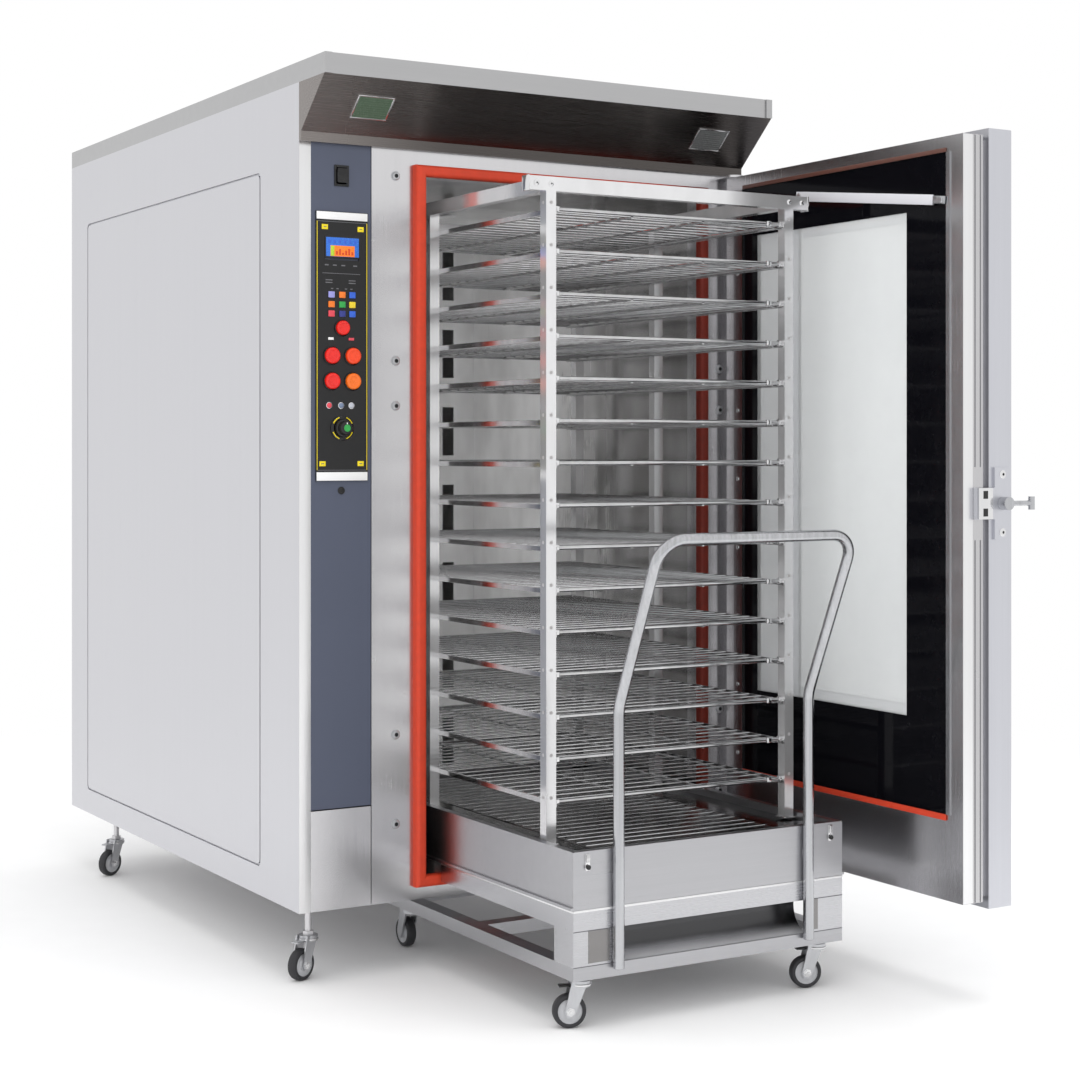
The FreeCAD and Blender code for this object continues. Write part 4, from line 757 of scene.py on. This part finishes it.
class OVEN_OT_push_buttons(bpy.types.Operator):
    """Domed push button caps and the collars that they stand in"""
    bl_idname = "rack_oven.push_buttons"
    bl_label = "Push buttons"

    CAPS = {"start_button": "cap_red", "round_button_1": "cap_red", "round_button_2": "cap_orange",
            "round_button_3": "cap_red", "round_button_4": "cap_amber"}

    def execute(self, context):
        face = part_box("control_fascia")[0].y
        collars = Builder("button_collars")
        for node, finish in self.CAPS.items():
            x, z, r, front, back = facing(node)
            top = back - front
            cap = Builder(node + "_cap")
            dome = [(0.0, 0.0), (r - 0.001, 0.0), (r, 0.001), (r, top - 0.0034), (r - 0.0012, top - 0.0012),
                    (r - 0.0034, top), (0.62 * r, top - 0.0004), (0.58 * r, top - 0.0012),
                    (0.0, top - 0.0015)]
            cap.turned(dome, (x, back, z), FRONT, finish, 40)
            cap.piece(node, "button_red" if finish == "cap_red" else "button_orange", node)
            ring = [(r + 0.0004, 0.0), (r + 0.0004, 0.0030), (r + 0.0016, 0.0036), (r + 0.0030, 0.0026),
                    (r + 0.0036, 0.0)]
            collars.turned(ring, (x, face, z), FRONT, "fascia_gloss", 40)
        collars.piece("cabinet", "fascia_black")
        return {"FINISHED"}


class OVEN_OT_selector(bpy.types.Operator):
    """The turning selector, its yellow dial marks, the rocker's frame and the column's catch"""
    bl_idname = "rack_oven.selector"
    bl_label = "Selector and rocker"

    # First and last angle of each yellow mark, in degrees, and the marks' distance from the middle
    MARKS = ((25, 70), (110, 155), (200, 250), (290, 340))
    MARK_RADIUS = 0.0262
    RIBS = 16
    RIB_RADIUS = 0.0195
    # Bars round the rocker in millimetres from its middle: left, right, bottom and top
    FRAME = ((-19, -13.4, -25, 25), (13.4, 19, -25, 25), (-13.4, 13.4, 19.4, 25), (-13.4, 13.4, -25, -19.4))
    CATCH = ((0.0090, 0.0), (0.0090, 0.0016), (0.0080, 0.0026), (0.0048, 0.0030), (0.0044, 0.0016),
             (0.0, 0.0016))
    CATCH_HEIGHT = 1.1655

    def execute(self, context):
        self.dial()
        self.knob()
        self.rocker()
        return {"FINISHED"}

    def dial(self):
        x, z, r, front, back = facing("selector_ring")
        b = Builder("selector_dial")
        disc = [(0.0085, 0.0), (r - 0.001, 0.0), (r, 0.001), (r, 0.0022), (r - 0.001, 0.003),
                (0.0225, 0.0032), (0.0225, 0.0014), (0.0085, 0.0014), (0.0085, 0.0)]
        b.turned(disc, (x, back, z), FRONT, "fascia_gloss", 48)
        for first, last in self.MARKS:
            arc = []
            for angle in spread(math.radians(first), math.radians(last), 9):
                across, up = self.MARK_RADIUS * math.cos(angle), self.MARK_RADIUS * math.sin(angle)
                arc.append((x + across, front + 0.0012, z + up))
            b.tube(arc, 0.0014, "ring_yellow", 10)
        b.piece("cabinet", "ring_yellow", "selector_ring")

    def knob(self):
        x, z, _, front, back = facing("selector_knob")
        top = back - front
        b = Builder("selector_knob_cap")
        body = [(0.0, 0.0), (0.0078, 0.0), (0.0078, 0.0188), (0.0200, 0.0194), (0.0215, 0.0206),
                (0.0205, 0.0262), (0.0172, 0.0275), (0.0160, top - 0.003), (0.0150, top - 0.001),
                (0.0130, top), (0.0085, top), (0.0080, top - 0.0008), (0.0, top - 0.0008)]
        b.turned(body, (x, back, z), FRONT, "knob_black", 40, {10: "key_green", 11: "key_green"})
        for i in range(self.RIBS):
            angle = 2 * math.pi * i / self.RIBS
            rib_x, rib_z = x + self.RIB_RADIUS * math.cos(angle), z + self.RIB_RADIUS * math.sin(angle)
            b.tube([(rib_x, back - 0.0205, rib_z), (rib_x, back - 0.0258, rib_z)], 0.0017, "knob_black", 8)
        b.block((x - 0.0012, front - 0.0002, z + 0.0088), (x + 0.0012, front + 0.0012, z + 0.0128),
                "strip_white", 0.0003)
        b.piece("selector", "knob_black", "selector_knob")

    def rocker(self):
        x, _, z = middle(*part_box("rocker_switch"))
        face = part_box("control_column")[0].y
        b = Builder("rocker_frame")
        for x0, x1, z0, z1 in self.FRAME:
            b.block((x + x0 / 1000, face - 0.0026, z + z0 / 1000), (x + x1 / 1000, face, z + z1 / 1000),
                    "knob_black", 0.0007)
        b.piece("cabinet", "knob_black")
        lock = Builder("panel_catch")
        lock.turned(self.CATCH, (x - 0.0005, face, self.CATCH_HEIGHT), FRONT, "knob_black", 28)
        lock.piece("cabinet", "knob_black")


class OVEN_OT_hood_lamps(bpy.types.Operator):
    """The two lamp windows under the hood: a bright frame and a ribbed lens each"""
    bl_idname = "rack_oven.hood_lamps"
    bl_label = "Hood lamps"

    # Bars of a frame in millimetres from its middle: left, right, lower and upper edge
    FRAME = ((-47, 47, -35, -31), (-47, 47, 31, 35), (-47, -43, -31, 31), (43, 47, -31, 31))
    TILT = -math.atan2(0.115, 0.130)
    INSET = 0.0475

    def execute(self, context):
        low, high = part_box("hood_lamps")
        _, y, z = middle(low, high)
        self.window("hood_lamp_left", (low.x + self.INSET, y, z), "lens_green", "hood_lamps")
        self.window("hood_lamp_right", (high.x - self.INSET, y, z), "lens_grey")
        return {"FINISHED"}

    def window(self, name, place, lens, *stands_for):
        turn = Matrix.Translation(place) @ Matrix.Rotation(self.TILT, 4, "X")
        b = Builder(name)
        for x0, x1, y0, y1 in self.FRAME:
            b.block(mm(x0, y0, -1.6), mm(x1, y1, 1.6), "bright_trim", 0.0006, 2, turn)
        b.block(mm(-43.2, -31.2, -1.0), mm(43.2, 31.2, 0.2), lens, 0.0003, 1, turn)
        for i in range(9):
            b.block(mm(-42, -27.6 + 6.5 * i, -1.5), mm(42, -24.4 + 6.5 * i, -0.6), lens, 0.0004, 1, turn)
        b.piece("cabinet", "lamp_glass", *stands_for)


LEVELS = 15


def shelf_levels():
    """The height of each shelf's wires; its runners hang below and its front rod stands a little above."""
    low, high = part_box("wire_shelves")
    return spread(low.z + 0.0115, high.z - 0.005, LEVELS)


class OVEN_OT_shelves(bpy.types.Operator):
    """Fifteen wire shelves on flat runners, each with a front rod between the posts"""
    bl_idname = "rack_oven.shelves"
    bl_label = "Wire shelves"

    FERRULE = ((0.0, 0.0), (0.0075, 0.0), (0.0080, 0.0006), (0.0080, 0.0094), (0.0075, 0.010), (0.0, 0.010))
    ROD_RADIUS = 0.0047
    ROD_BACK = 0.013

    def execute(self, context):
        sizes = settings("sizes")
        low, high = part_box("wire_shelves")
        near, far = low.y + 0.030, high.y - 0.004
        left, right = low.x + 0.005, high.x - 0.005
        rod = low.y + self.ROD_BACK
        fine, edges, rods = [], [], []
        runners = Builder("shelf_runners")
        clips = Builder("shelf_clips")
        for z in shelf_levels():
            for y in spread(near + 0.010, far - 0.010, sizes.shelf_wires):
                fine.append([(left, y, z), (right, y, z)])
            for y in (near, far - 0.004):
                edges.append([(left + 0.004, y, z - 0.003), (right - 0.004, y, z - 0.003)])
            for x in (left + 0.012, left + 0.215, right - 0.215, right - 0.012):
                edges.append([(x, near - 0.004, z - 0.0046), (x, far - 0.001, z - 0.0046)])
            rods.append([(low.x, rod, z), (high.x, rod, z)])
            for x0, x1 in ((low.x, low.x + 0.0024), (high.x - 0.0024, high.x)):
                runners.block((x0, low.y, z - 0.0105), (x1, high.y, z + 0.0014), "bright_runner", 0.0006, 1)
            for x0, x1 in ((low.x + 0.0022, low.x + 0.016), (high.x - 0.016, high.x - 0.0022)):
                runners.block((x0, low.y + 0.026, z - 0.0095), (x1, high.y, z - 0.0080),
                              "bright_runner", 0.0005, 1)
            for x in (low.x + 0.007, high.x - 0.040):
                clips.block((x - 0.0066, rod - 0.0062, z - 0.0058), (x + 0.0066, rod + 0.0050, z + 0.0058),
                            "bright_trim", 0.0016)
            clips.turned(self.FERRULE, (high.x - 0.010, rod, z), RIGHT, "bright_trim", 20)
        wires("shelf_wires", fine, sizes.wire, "bright_wire", "rack", "wire", "wire_shelves")
        wires("shelf_edge_wires", edges, sizes.edge_wire, "bright_wire", "rack", "wire")
        wires("shelf_front_rods", rods, self.ROD_RADIUS, "bright_rod", "rack", "wire")
        runners.piece("rack", "wire")
        clips.piece("rack", "bright")
        return {"FINISHED"}


class OVEN_OT_rack_details(bpy.types.Operator):
    """Holes as grey discs of painted shade, screws and feet of the posts, capped bar ends, front catches and
    the ribbed base floor
    """
    bl_idname = "rack_oven.rack_details"
    bl_label = "Rack details"

    POST = 0.026
    # A shallow grey disc whose colour is the painted shade of a hole in the post
    HOLE = ((0.0040, 0.0), (0.0040, 0.0003), (0.0030, 0.0004), (0.0, 0.0004))
    HOLE_RISE = 0.012
    SCREW = ((0.0062, 0.0), (0.0062, 0.0012), (0.0048, 0.0024), (0.0020, 0.0028), (0.0018, 0.0018),
             (0.0, 0.0018))
    KNOB = ((0.0046, 0.0), (0.0054, 0.0016), (0.0054, 0.0046), (0.0042, 0.0060), (0.0, 0.0062))

    def execute(self, context):
        self.posts()
        self.locks()
        self.floor()
        return {"FINISHED"}

    def posts(self):
        low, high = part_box("rack_frame")
        shelf_low, shelf_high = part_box("wire_shelves")
        size, half = self.POST, self.POST / 2
        columns = (shelf_low.x - half, shelf_high.x + half)
        b = Builder("post_details")
        for level in shelf_levels():
            z = level + self.HOLE_RISE
            for x in columns:
                b.turned(self.HOLE, (x, low.y, z), FRONT, "hole_grey", 16)
            for x, axis in ((shelf_low.x - size, LEFT), (shelf_high.x + size, RIGHT)):
                b.turned(self.HOLE, (x, low.y + half, z), axis, "hole_grey", 16)
        for x in (low.x + 0.022, high.x - 0.022, low.x + 0.060, high.x - 0.060):
            # Painted shade in each screw's recess
            b.turned(self.SCREW, (x, low.y, high.z - 0.016), FRONT, "bright_trim", 24, {4: "dark_gap"})
        for x0, x1 in ((low.x - 0.0006, low.x + 0.004), (high.x - 0.0046, high.x)):
            b.block((x0, low.y - 0.0012, high.z - 0.0345), (x1, low.y + size + 0.001, high.z + 0.0012),
                    "bright_trim", 0.0012)
        for x in columns:
            for y, before, after in ((low.y + half, 0.017, 0.017), (high.y - half, 0.013, 0.012)):
                b.block((x - 0.017, y - before, low.z), (x + 0.017, y + after, low.z + 0.004), "bright_trim")
        b.piece("rack", "bright")

    def locks(self):
        """The slim catch at each front corner of the base: a bright plate, a lip and a black knob."""
        low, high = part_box("rack_locks")
        b = Builder("rack_catches")
        face, z = high.y, middle(low, high).z
        for x in (low.x + 0.018, high.x - 0.018):
            b.block((x - 0.006, face - 0.0020, low.z - 0.004), (x + 0.006, face, high.z + 0.004),
                    "bright_trim", 0.0010)
            b.block((x - 0.005, face - 0.0050, z), (x + 0.005, face - 0.0016, high.z + 0.003),
                    "bright_rod", 0.0014)
            b.turned(self.KNOB, (x, face - 0.0018, low.z + 0.004), FRONT, "knob_black", 24)
        b.piece("rack", "knob_black", "rack_locks")

    def floor(self):
        """A dark polished sheet and, inside a wide margin, the ribbed plate that the goods stand over."""
        sizes = settings("sizes")
        low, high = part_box("base_grid")
        left, right = low.x + 0.086, high.x - 0.112
        near, far = low.y + 0.052, high.y - 0.030
        z = high.z - sizes.rib
        runs = [[(left + 0.004, y, z), (right - 0.004, y, z)]
                for y in spread(near + 0.012, far - 0.012, sizes.floor_ribs)]
        wires("base_floor_ribs", runs, sizes.rib, "bright_wire", "rack", "wire", "base_grid")
        b = Builder("base_floor_sheet")
        b.block((low.x + 0.0005, low.y + 0.0005, low.z), (high.x - 0.0005, high.y - 0.0005, low.z + 0.0022),
                "floor_sheet", 0.0004, 1)
        b.block((left, near, low.z + 0.0020), (right, far, low.z + 0.0036), "floor_plate", 0.0006)
        b.piece("rack", "wire")


class OVEN_OT_push_handle(bpy.types.Operator):
    """The bent tube that pushes the cart, with its foot clips, and the thin edges of the cart's rim"""
    bl_idname = "rack_oven.push_handle"
    bl_label = "Push handle"

    # The two legs across, their place in depth, and the heights of foot, knee and grip
    LEGS = (-0.167, 0.355)
    DEPTH, REACH = -1.5025, 0.165
    FOOT, KNEE, GRIP = 0.132, 0.700, 1.072
    BENDS = (0.090, 0.062, 0.062, 0.090)
    RADIUS = 0.0125
    CLIPS = (0.156, 0.330)

    def execute(self, context):
        r, y = self.RADIUS, self.DEPTH
        leg = [(y, self.FOOT), (y, self.KNEE), (y - self.REACH, self.GRIP)]
        left, right = ([(x, *place) for place in leg] for x in self.LEGS)
        b = Builder("push_handle_tube")
        b.tube(rounded(left + right[::-1], self.BENDS, 14), r, "handle_steel", 28)
        foot = [(0.0, 0.0), (r - 0.003, 0.0), (r - 0.0006, 0.0012), (r, 0.004)]
        for x in self.LEGS:
            b.turned(foot, (x, y, self.FOOT - 0.002), UP, "handle_steel", 28)
            for z in self.CLIPS:
                b.block((x - 0.007, y + 0.009, z - 0.008), (x + 0.007, y + 0.0125, z + 0.008),
                        "handle_steel", 0.0010)
        b.piece("cart", "bright", "push_handle")
        self.rim_edges()
        return {"FINISHED"}

    def rim_edges(self):
        """The folded lip of the cart's rim with a pale strip as painted highlight, dark plates as painted
        shade in the recesses beside its front corner posts, and their seams.
        """
        low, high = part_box("cart_rim")
        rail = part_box("drip_pan")[1].z
        b = Builder("cart_edges")
        for lip_low, lip_high in (((low.x, low.y - 0.0012), (high.x, low.y)),
                                  ((low.x - 0.0012, low.y), (low.x, high.y))):
            # Painted highlight: a pale strip along the top of the rim's lip
            b.block((*lip_low, high.z - 0.0055), (*lip_high, high.z - 0.0004), "edge_strip", 0.0005)
        # Painted shade: thin dark plates in the recesses beside the front corner posts
        for x0, x1 in ((low.x + 0.038, low.x + 0.094), (high.x - 0.094, high.x - 0.072)):
            b.block((x0, low.y - 0.0005, low.z + 0.006), (x1, low.y, rail - 0.001), "floor_plate", 0.0002, 1)
        for x0, x1 in ((low.x, low.x + 0.100), (high.x - 0.100, high.x)):
            for z in (low.z, rail):
                b.block((x0, low.y - 0.0006, z - 0.0010), (x1, low.y, z + 0.0010), "line_grey", 0.0002, 1)
        b.piece("cart", "bright")


# The way each pair of casters points, in degrees from X; the cart's rear pair doesn't swivel
HEADINGS = {"oven_{}_front": 205, "oven_{}_rear": 205, "cart_{}_front": 160, "cart_{}_rear": 90}


def casters():
    """The wheel and fork of each caster, its heading, and the directions of travel and of its axle."""
    for pair, degrees in HEADINGS.items():
        heading = math.radians(degrees)
        ahead = Vector((math.cos(heading), math.sin(heading), 0))
        axle = Vector((-math.sin(heading), math.cos(heading), 0))
        for side in ("_left", "_right"):
            yield pair.format("wheel") + side, pair.format("fork") + side, heading, ahead, axle


class OVEN_OT_wheels(bpy.types.Operator):
    """Caster wheels: rubber tread and grey centre"""
    bl_idname = "rack_oven.wheels"
    bl_label = "Caster wheels"

    HALF = [(0.0064, 0.0138), (0.0100, 0.0138), (0.0138, 0.0128), (0.0146, 0.0096), (0.0200, 0.0078),
            (0.0258, 0.0084), (0.0272, 0.0112), (0.0286, 0.0118), (0.0340, 0.0118), (0.0362, 0.0100),
            (0.0372, 0.0070), (0.0375, 0.0)]
    HUB_STEPS = 6

    def execute(self, context):
        profile = self.HALF + [(r, -h) for r, h in reversed(self.HALF[:-1])]
        count = len(profile) - 1
        bands = {i: "hub_grey" for i in range(count) if i < self.HUB_STEPS or i >= count - self.HUB_STEPS}
        for wheel, _, _, _, axle in casters():
            b = Builder(wheel + "_tread")
            b.turned(profile, middle(*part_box(wheel)), axle, "tyre_rubber", 48, bands)
            b.piece(wheel, "tyre", wheel)
        return {"FINISHED"}


class OVEN_OT_caster_details(bpy.types.Operator):
    """Ball races, axle nuts and brake pedals on the caster forks that swivel"""
    bl_idname = "rack_oven.caster_details"
    bl_label = "Caster details"

    TRAIL = 0.026
    RACE = ((0.0236, 0.0), (0.0250, 0.0010), (0.0250, 0.0042), (0.0236, 0.0052))
    RACE_HEIGHT = 0.0925
    NUT = ((0.0100, 0.0), (0.0100, 0.0008), (0.0082, 0.0010), (0.0082, 0.0046), (0.0070, 0.0054),
           (0.0046, 0.0056), (0.0046, 0.0074), (0.0036, 0.0082), (0.0, 0.0082))
    NUT_PLACE = 0.0185

    def execute(self, context):
        for wheel, fork, heading, ahead, axle in casters():
            if fork.startswith("cart_fork_rear"):
                continue
            hub = middle(*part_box(wheel))
            stem = hub - ahead * self.TRAIL
            b = Builder(fork + "_details")
            b.turned(self.RACE, (stem.x, stem.y, self.RACE_HEIGHT), UP, "bright_trim", 36)
            for way, sides in ((1, 6), (-1, 24)):
                b.turned(self.NUT, hub + axle * (way * self.NUT_PLACE), axle * way, "bright_trim", sides)
            pedal = "zinc_plate" if fork.startswith("oven") else "knob_black"
            turn = Matrix.Translation((stem.x, stem.y, 0.0)) @ Matrix.Rotation(heading, 4, "Z")
            b.block(mm(20, -10.5, 90.4), mm(50, 10.5, 94.4), pedal, 0.0014, 2, turn)
            for i in range(4):
                b.block(mm(36 + 3.4 * i, -9, 94.2), mm(37.6 + 3.4 * i, 9, 95.2), pedal, 0.0004, 1, turn)
            b.piece(fork, "zinc")
        return {"FINISHED"}


class OVEN_OT_door_details(bpy.types.Operator):
    """Screws of the trims and the latch plate, strips on the free edge, and the arm across the inner pane"""
    bl_idname = "rack_oven.door_details"
    bl_label = "Door details"

    # Ends of the arm's middle line on the inner pane, (y, z), and half its height
    ARM = (-1.190, 1.8945), (-1.712, 1.8305)
    ARM_HALF = 0.0120

    def execute(self, context):
        self.screws(settings("sizes").screw)
        self.strips()
        self.free_edge()
        self.arm()
        return {"FINISHED"}

    def screws(self, r):
        """Screws down the trim, and the latch plate's screws and keeper."""
        b = Builder("door_screws")
        low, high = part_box("glass_trim")
        for z in spread(low.z + 0.040, high.z - 0.040, 9):
            b.screw((low.x, high.y - 0.018, z), LEFT, r, 20)
        low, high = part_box("latch_plate")
        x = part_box("latch_lever")[0].x + 0.015
        for z in (low.z + 0.016, high.z - 0.016):
            b.screw((x, low.y, z), FRONT, 1.75 * r, 24, 1.3)
        centre = middle(low, high).z
        b.block((low.x + 0.004, low.y - 0.0050, centre - 0.036), (low.x + 0.046, low.y, centre + 0.036),
                "bright_trim", 0.0016)
        # Painted shade: dark slots in the keeper
        for z in (centre - 0.020, centre + 0.020):
            b.block((low.x + 0.016, low.y - 0.0054, z - 0.009), (low.x + 0.030, low.y - 0.0049, z + 0.009),
                    "dark_gap", 0.0002, 1)
        b.piece("door", "bright")

    def strips(self):
        """The seal strips over and under the inner pane; the upper one is thin and dark brown."""
        low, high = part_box("door_seal")
        b = Builder("glass_strips")
        b.block((low.x + 0.0002, low.y, low.z), (high.x, high.y, low.z + 0.014), "gasket_silicone", 0.002, 3)
        b.block((low.x + 0.0030, low.y, high.z - 0.014), (high.x, high.y, high.z - 0.004),
                "seal_brown", 0.001)
        b.piece("door", "silicone", "door_seal")

    def free_edge(self):
        """A bright strip and two grooves on the edge of the inner frame, clear of the latch plate."""
        low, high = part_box("door_plug")
        plate_low, plate_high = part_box("latch_plate")
        bottom, top = low.z + 0.001, high.z - 0.001
        b = Builder("free_edge_strips")
        b.block((low.x + 0.0005, low.y - 0.0008, bottom), (plate_low.x - 0.0005, low.y, top),
                "edge_strip", 0.0003)
        for x in (plate_low.x + 0.005, plate_low.x + 0.021):
            for z0, z1 in ((bottom, plate_low.z - 0.001), (plate_high.z + 0.001, top)):
                b.block((x, low.y - 0.0005, z0), (x + 0.0030, low.y, z1), "line_grey", 0.0002, 1)
        b.piece("door", "bright")

    def arm(self):
        """The flat arm that holds the door open, on a boss at each end, with a tab at the free edge."""
        (y0, z0), (y1, z1) = self.ARM
        half = self.ARM_HALF
        face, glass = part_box("glass_trim")[0].x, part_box("door_glass")[0].x
        reach = math.hypot(y1 - y0, z1 - z0)
        turn = Matrix.Translation((face, y0, z0)) @ Matrix.Rotation(math.atan2(z1 - z0, y1 - y0), 4, "X")
        b = Builder("door_arm")
        b.block((-0.0065, -half, -half), (-0.0010, reach - 0.030, half), "arm_white", 0.0016, 2, turn)
        b.block((-0.0055, reach - 0.031, -0.8 * half), (-0.0015, reach + 0.010, 0.7 * half), "zinc_plate",
                0.0012, 2, turn)
        boss = [(0.0085, face - glass), (0.0085, 0.0068), (0.0070, 0.0084), (0.0, 0.0084)]
        for along in (0.0, reach - 0.004):
            b.turned(boss, turn @ Vector((0.0, along, 0.0)), LEFT, "zinc_plate", 28)
        b.piece("door", "bright")


class OVEN_OT_panel_screws(bpy.types.Operator):
    """Screws round the back panel and along the roof and the right side panel"""
    bl_idname = "rack_oven.panel_screws"
    bl_label = "Panel screws"

    def execute(self, context):
        r = settings("sizes").screw
        b = Builder("panel_screws")
        low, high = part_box("back_panel")
        for x, z in zip(spread(low.x + 0.03, high.x - 0.03, 6), spread(low.z + 0.04, high.z - 0.04, 6)):
            for place in ((x, high.y, low.z + 0.02), (x, high.y, high.z - 0.02),
                          (low.x + 0.015, high.y, z), (high.x - 0.015, high.y, z)):
                b.screw(place, BACK, r)
        low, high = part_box("right_side_panel")
        for y in spread(low.y + 0.05, high.y - 0.05, 9):
            for z in (low.z + 0.025, high.z - 0.025):
                b.screw((high.x, y, z), RIGHT, r)
        low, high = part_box("roof_panel")
        for y in spread(low.y + 0.08, high.y - 0.08, 8):
            for x in (low.x + 0.02, high.x - 0.02):
                b.screw((x, y, high.z), UP, r)
        b.piece("cabinet", "front_steel")
        return {"FINISHED"}


class OVEN_OT_stage(bpy.types.Operator):
    """Makes the floor, the white background, the soft lamps and the camera"""
    bl_idname = "rack_oven.stage"
    bl_label = "Stage"

    FLOOR_REACH = 40.0
    AIM = (0.1, -0.6, 1.0)
    # Place of each lamp, the point it faces, its width and height, and the setting with its power
    LAMPS = {"key_lamp": ((-5.6, -4.6, 4.6), AIM, 5.0, 5.0, "key"),
             "fill_lamp": ((4.8, -6.2, 3.4), AIM, 4.0, 4.0, "fill"),
             "top_lamp": ((0.3, -1.4, 6.2), AIM, 5.0, 5.0, "top"),
             "chamber_lamp": ((-0.24, -0.26, 1.15), (0.30, 0.06, 1.15), 0.10, 1.5, "chamber")}
    # Where the level camera stands, its heading in radians, and how far its picture is shifted up
    EYE = (-2.574, -5.218, 1.262)
    HEADING = -0.536
    SHIFT = -0.0836

    def execute(self, context):
        stage = settings("stage")
        self.floor(stage)
        self.background(context.scene, stage)
        for name, (place, aim, width, height, power_of) in self.LAMPS.items():
            self.lamp(name, Vector(place), Vector(aim), width, height, getattr(stage, power_of))
        self.camera(context.scene, stage)
        context.scene.view_settings.view_transform = "Standard"
        return {"FINISHED"}

    def camera(self, scene, stage):
        eye = bpy.data.cameras.new("photo_camera")
        eye.lens = stage.lens
        eye.sensor_width = 36.0
        eye.shift_y = self.SHIFT
        eye.clip_end = 100.0
        camera = bpy.data.objects.new("photo_camera", eye)
        camera.location = self.EYE
        camera.rotation_euler = (math.radians(90), 0.0, self.HEADING)
        scene.collection.objects.link(camera)
        scene.camera = camera

    def floor(self, stage):
        reach = self.FLOOR_REACH
        floor_finish("pale_floor", stage.floor)
        data = bpy.data.meshes.new("floor")
        data.from_pydata([(-reach, -reach, 0), (reach, -reach, 0), (reach, reach, 0), (-reach, reach, 0)],
                         [], [(0, 1, 2, 3)])
        data.materials.append(FINISHES["pale_floor"])
        floor = bpy.data.objects.new("floor", data)
        bpy.context.scene.collection.objects.link(floor)

    def background(self, scene, stage):
        """White to the camera and in mirrors, and an even light of the set level on the oven."""
        world = bpy.data.worlds.new("white_studio")
        world.use_nodes = True
        scene.world = world
        f = Finish("white_studio", world.node_tree)
        level = f.seen() * (1.0 - stage.ambient) + stage.ambient
        white = f.node("ShaderNodeBackground", {"Color": WHITE, "Strength": level})["Background"]
        f.node("ShaderNodeOutputWorld", {"Surface": white})

    def lamp(self, name, place, aim, width, height, energy):
        """A soft lamp that lights the oven but isn't mirrored in its steel."""
        light = bpy.data.lights.new(name, "AREA")
        light.shape = "RECTANGLE"
        light.size = width
        light.size_y = height
        light.energy = energy
        lamp = bpy.data.objects.new(name, light)
        lamp.location = place
        lamp.rotation_euler = (aim - place).to_track_quat("-Z", "Y").to_euler()
        lamp.visible_glossy = False
        bpy.context.scene.collection.objects.link(lamp)


OPERATORS = (OVEN_OT_finishes, OVEN_OT_front_bolts, OVEN_OT_control_face, OVEN_OT_push_buttons,
             OVEN_OT_selector, OVEN_OT_hood_lamps, OVEN_OT_shelves, OVEN_OT_rack_details,
             OVEN_OT_push_handle, OVEN_OT_wheels, OVEN_OT_caster_details, OVEN_OT_door_details,
             OVEN_OT_panel_screws, OVEN_OT_stage)
GROUPS = {"finishes": OvenFinishes, "sizes": OvenSizes, "stage": OvenStage}


class OVEN_PT_panel(bpy.types.Panel):
    """Lists the operators and the settings in the 3D view's sidebar"""
    bl_idname = "OVEN_PT_panel"
    bl_label = "Rack oven"
    bl_space_type = "VIEW_3D"
    bl_region_type = "UI"
    bl_category = "Rack oven"

    def draw(self, context):
        for operator in OPERATORS:
            self.layout.operator(operator.bl_idname)
        for group in GROUPS:
            for name in GROUPS[group].__annotations__:
                self.layout.prop(settings(group), name)


CLASSES = tuple(GROUPS.values()) + OPERATORS + (OVEN_PT_panel,)


def register():
    for kind in CLASSES:
        bpy.utils.register_class(kind)
    for name, group in GROUPS.items():
        setattr(bpy.types.Scene, "rack_oven_" + name, PointerProperty(type=group))


def unregister():
    for name in GROUPS:
        delattr(bpy.types.Scene, "rack_oven_" + name)
    for kind in reversed(CLASSES):
        bpy.utils.unregister_class(kind)


def main():
    register()
    for operator in OPERATORS:
        group, name = operator.bl_idname.split(".")
        getattr(getattr(bpy.ops, group), name)()


if __name__ == "__main__":
    main()
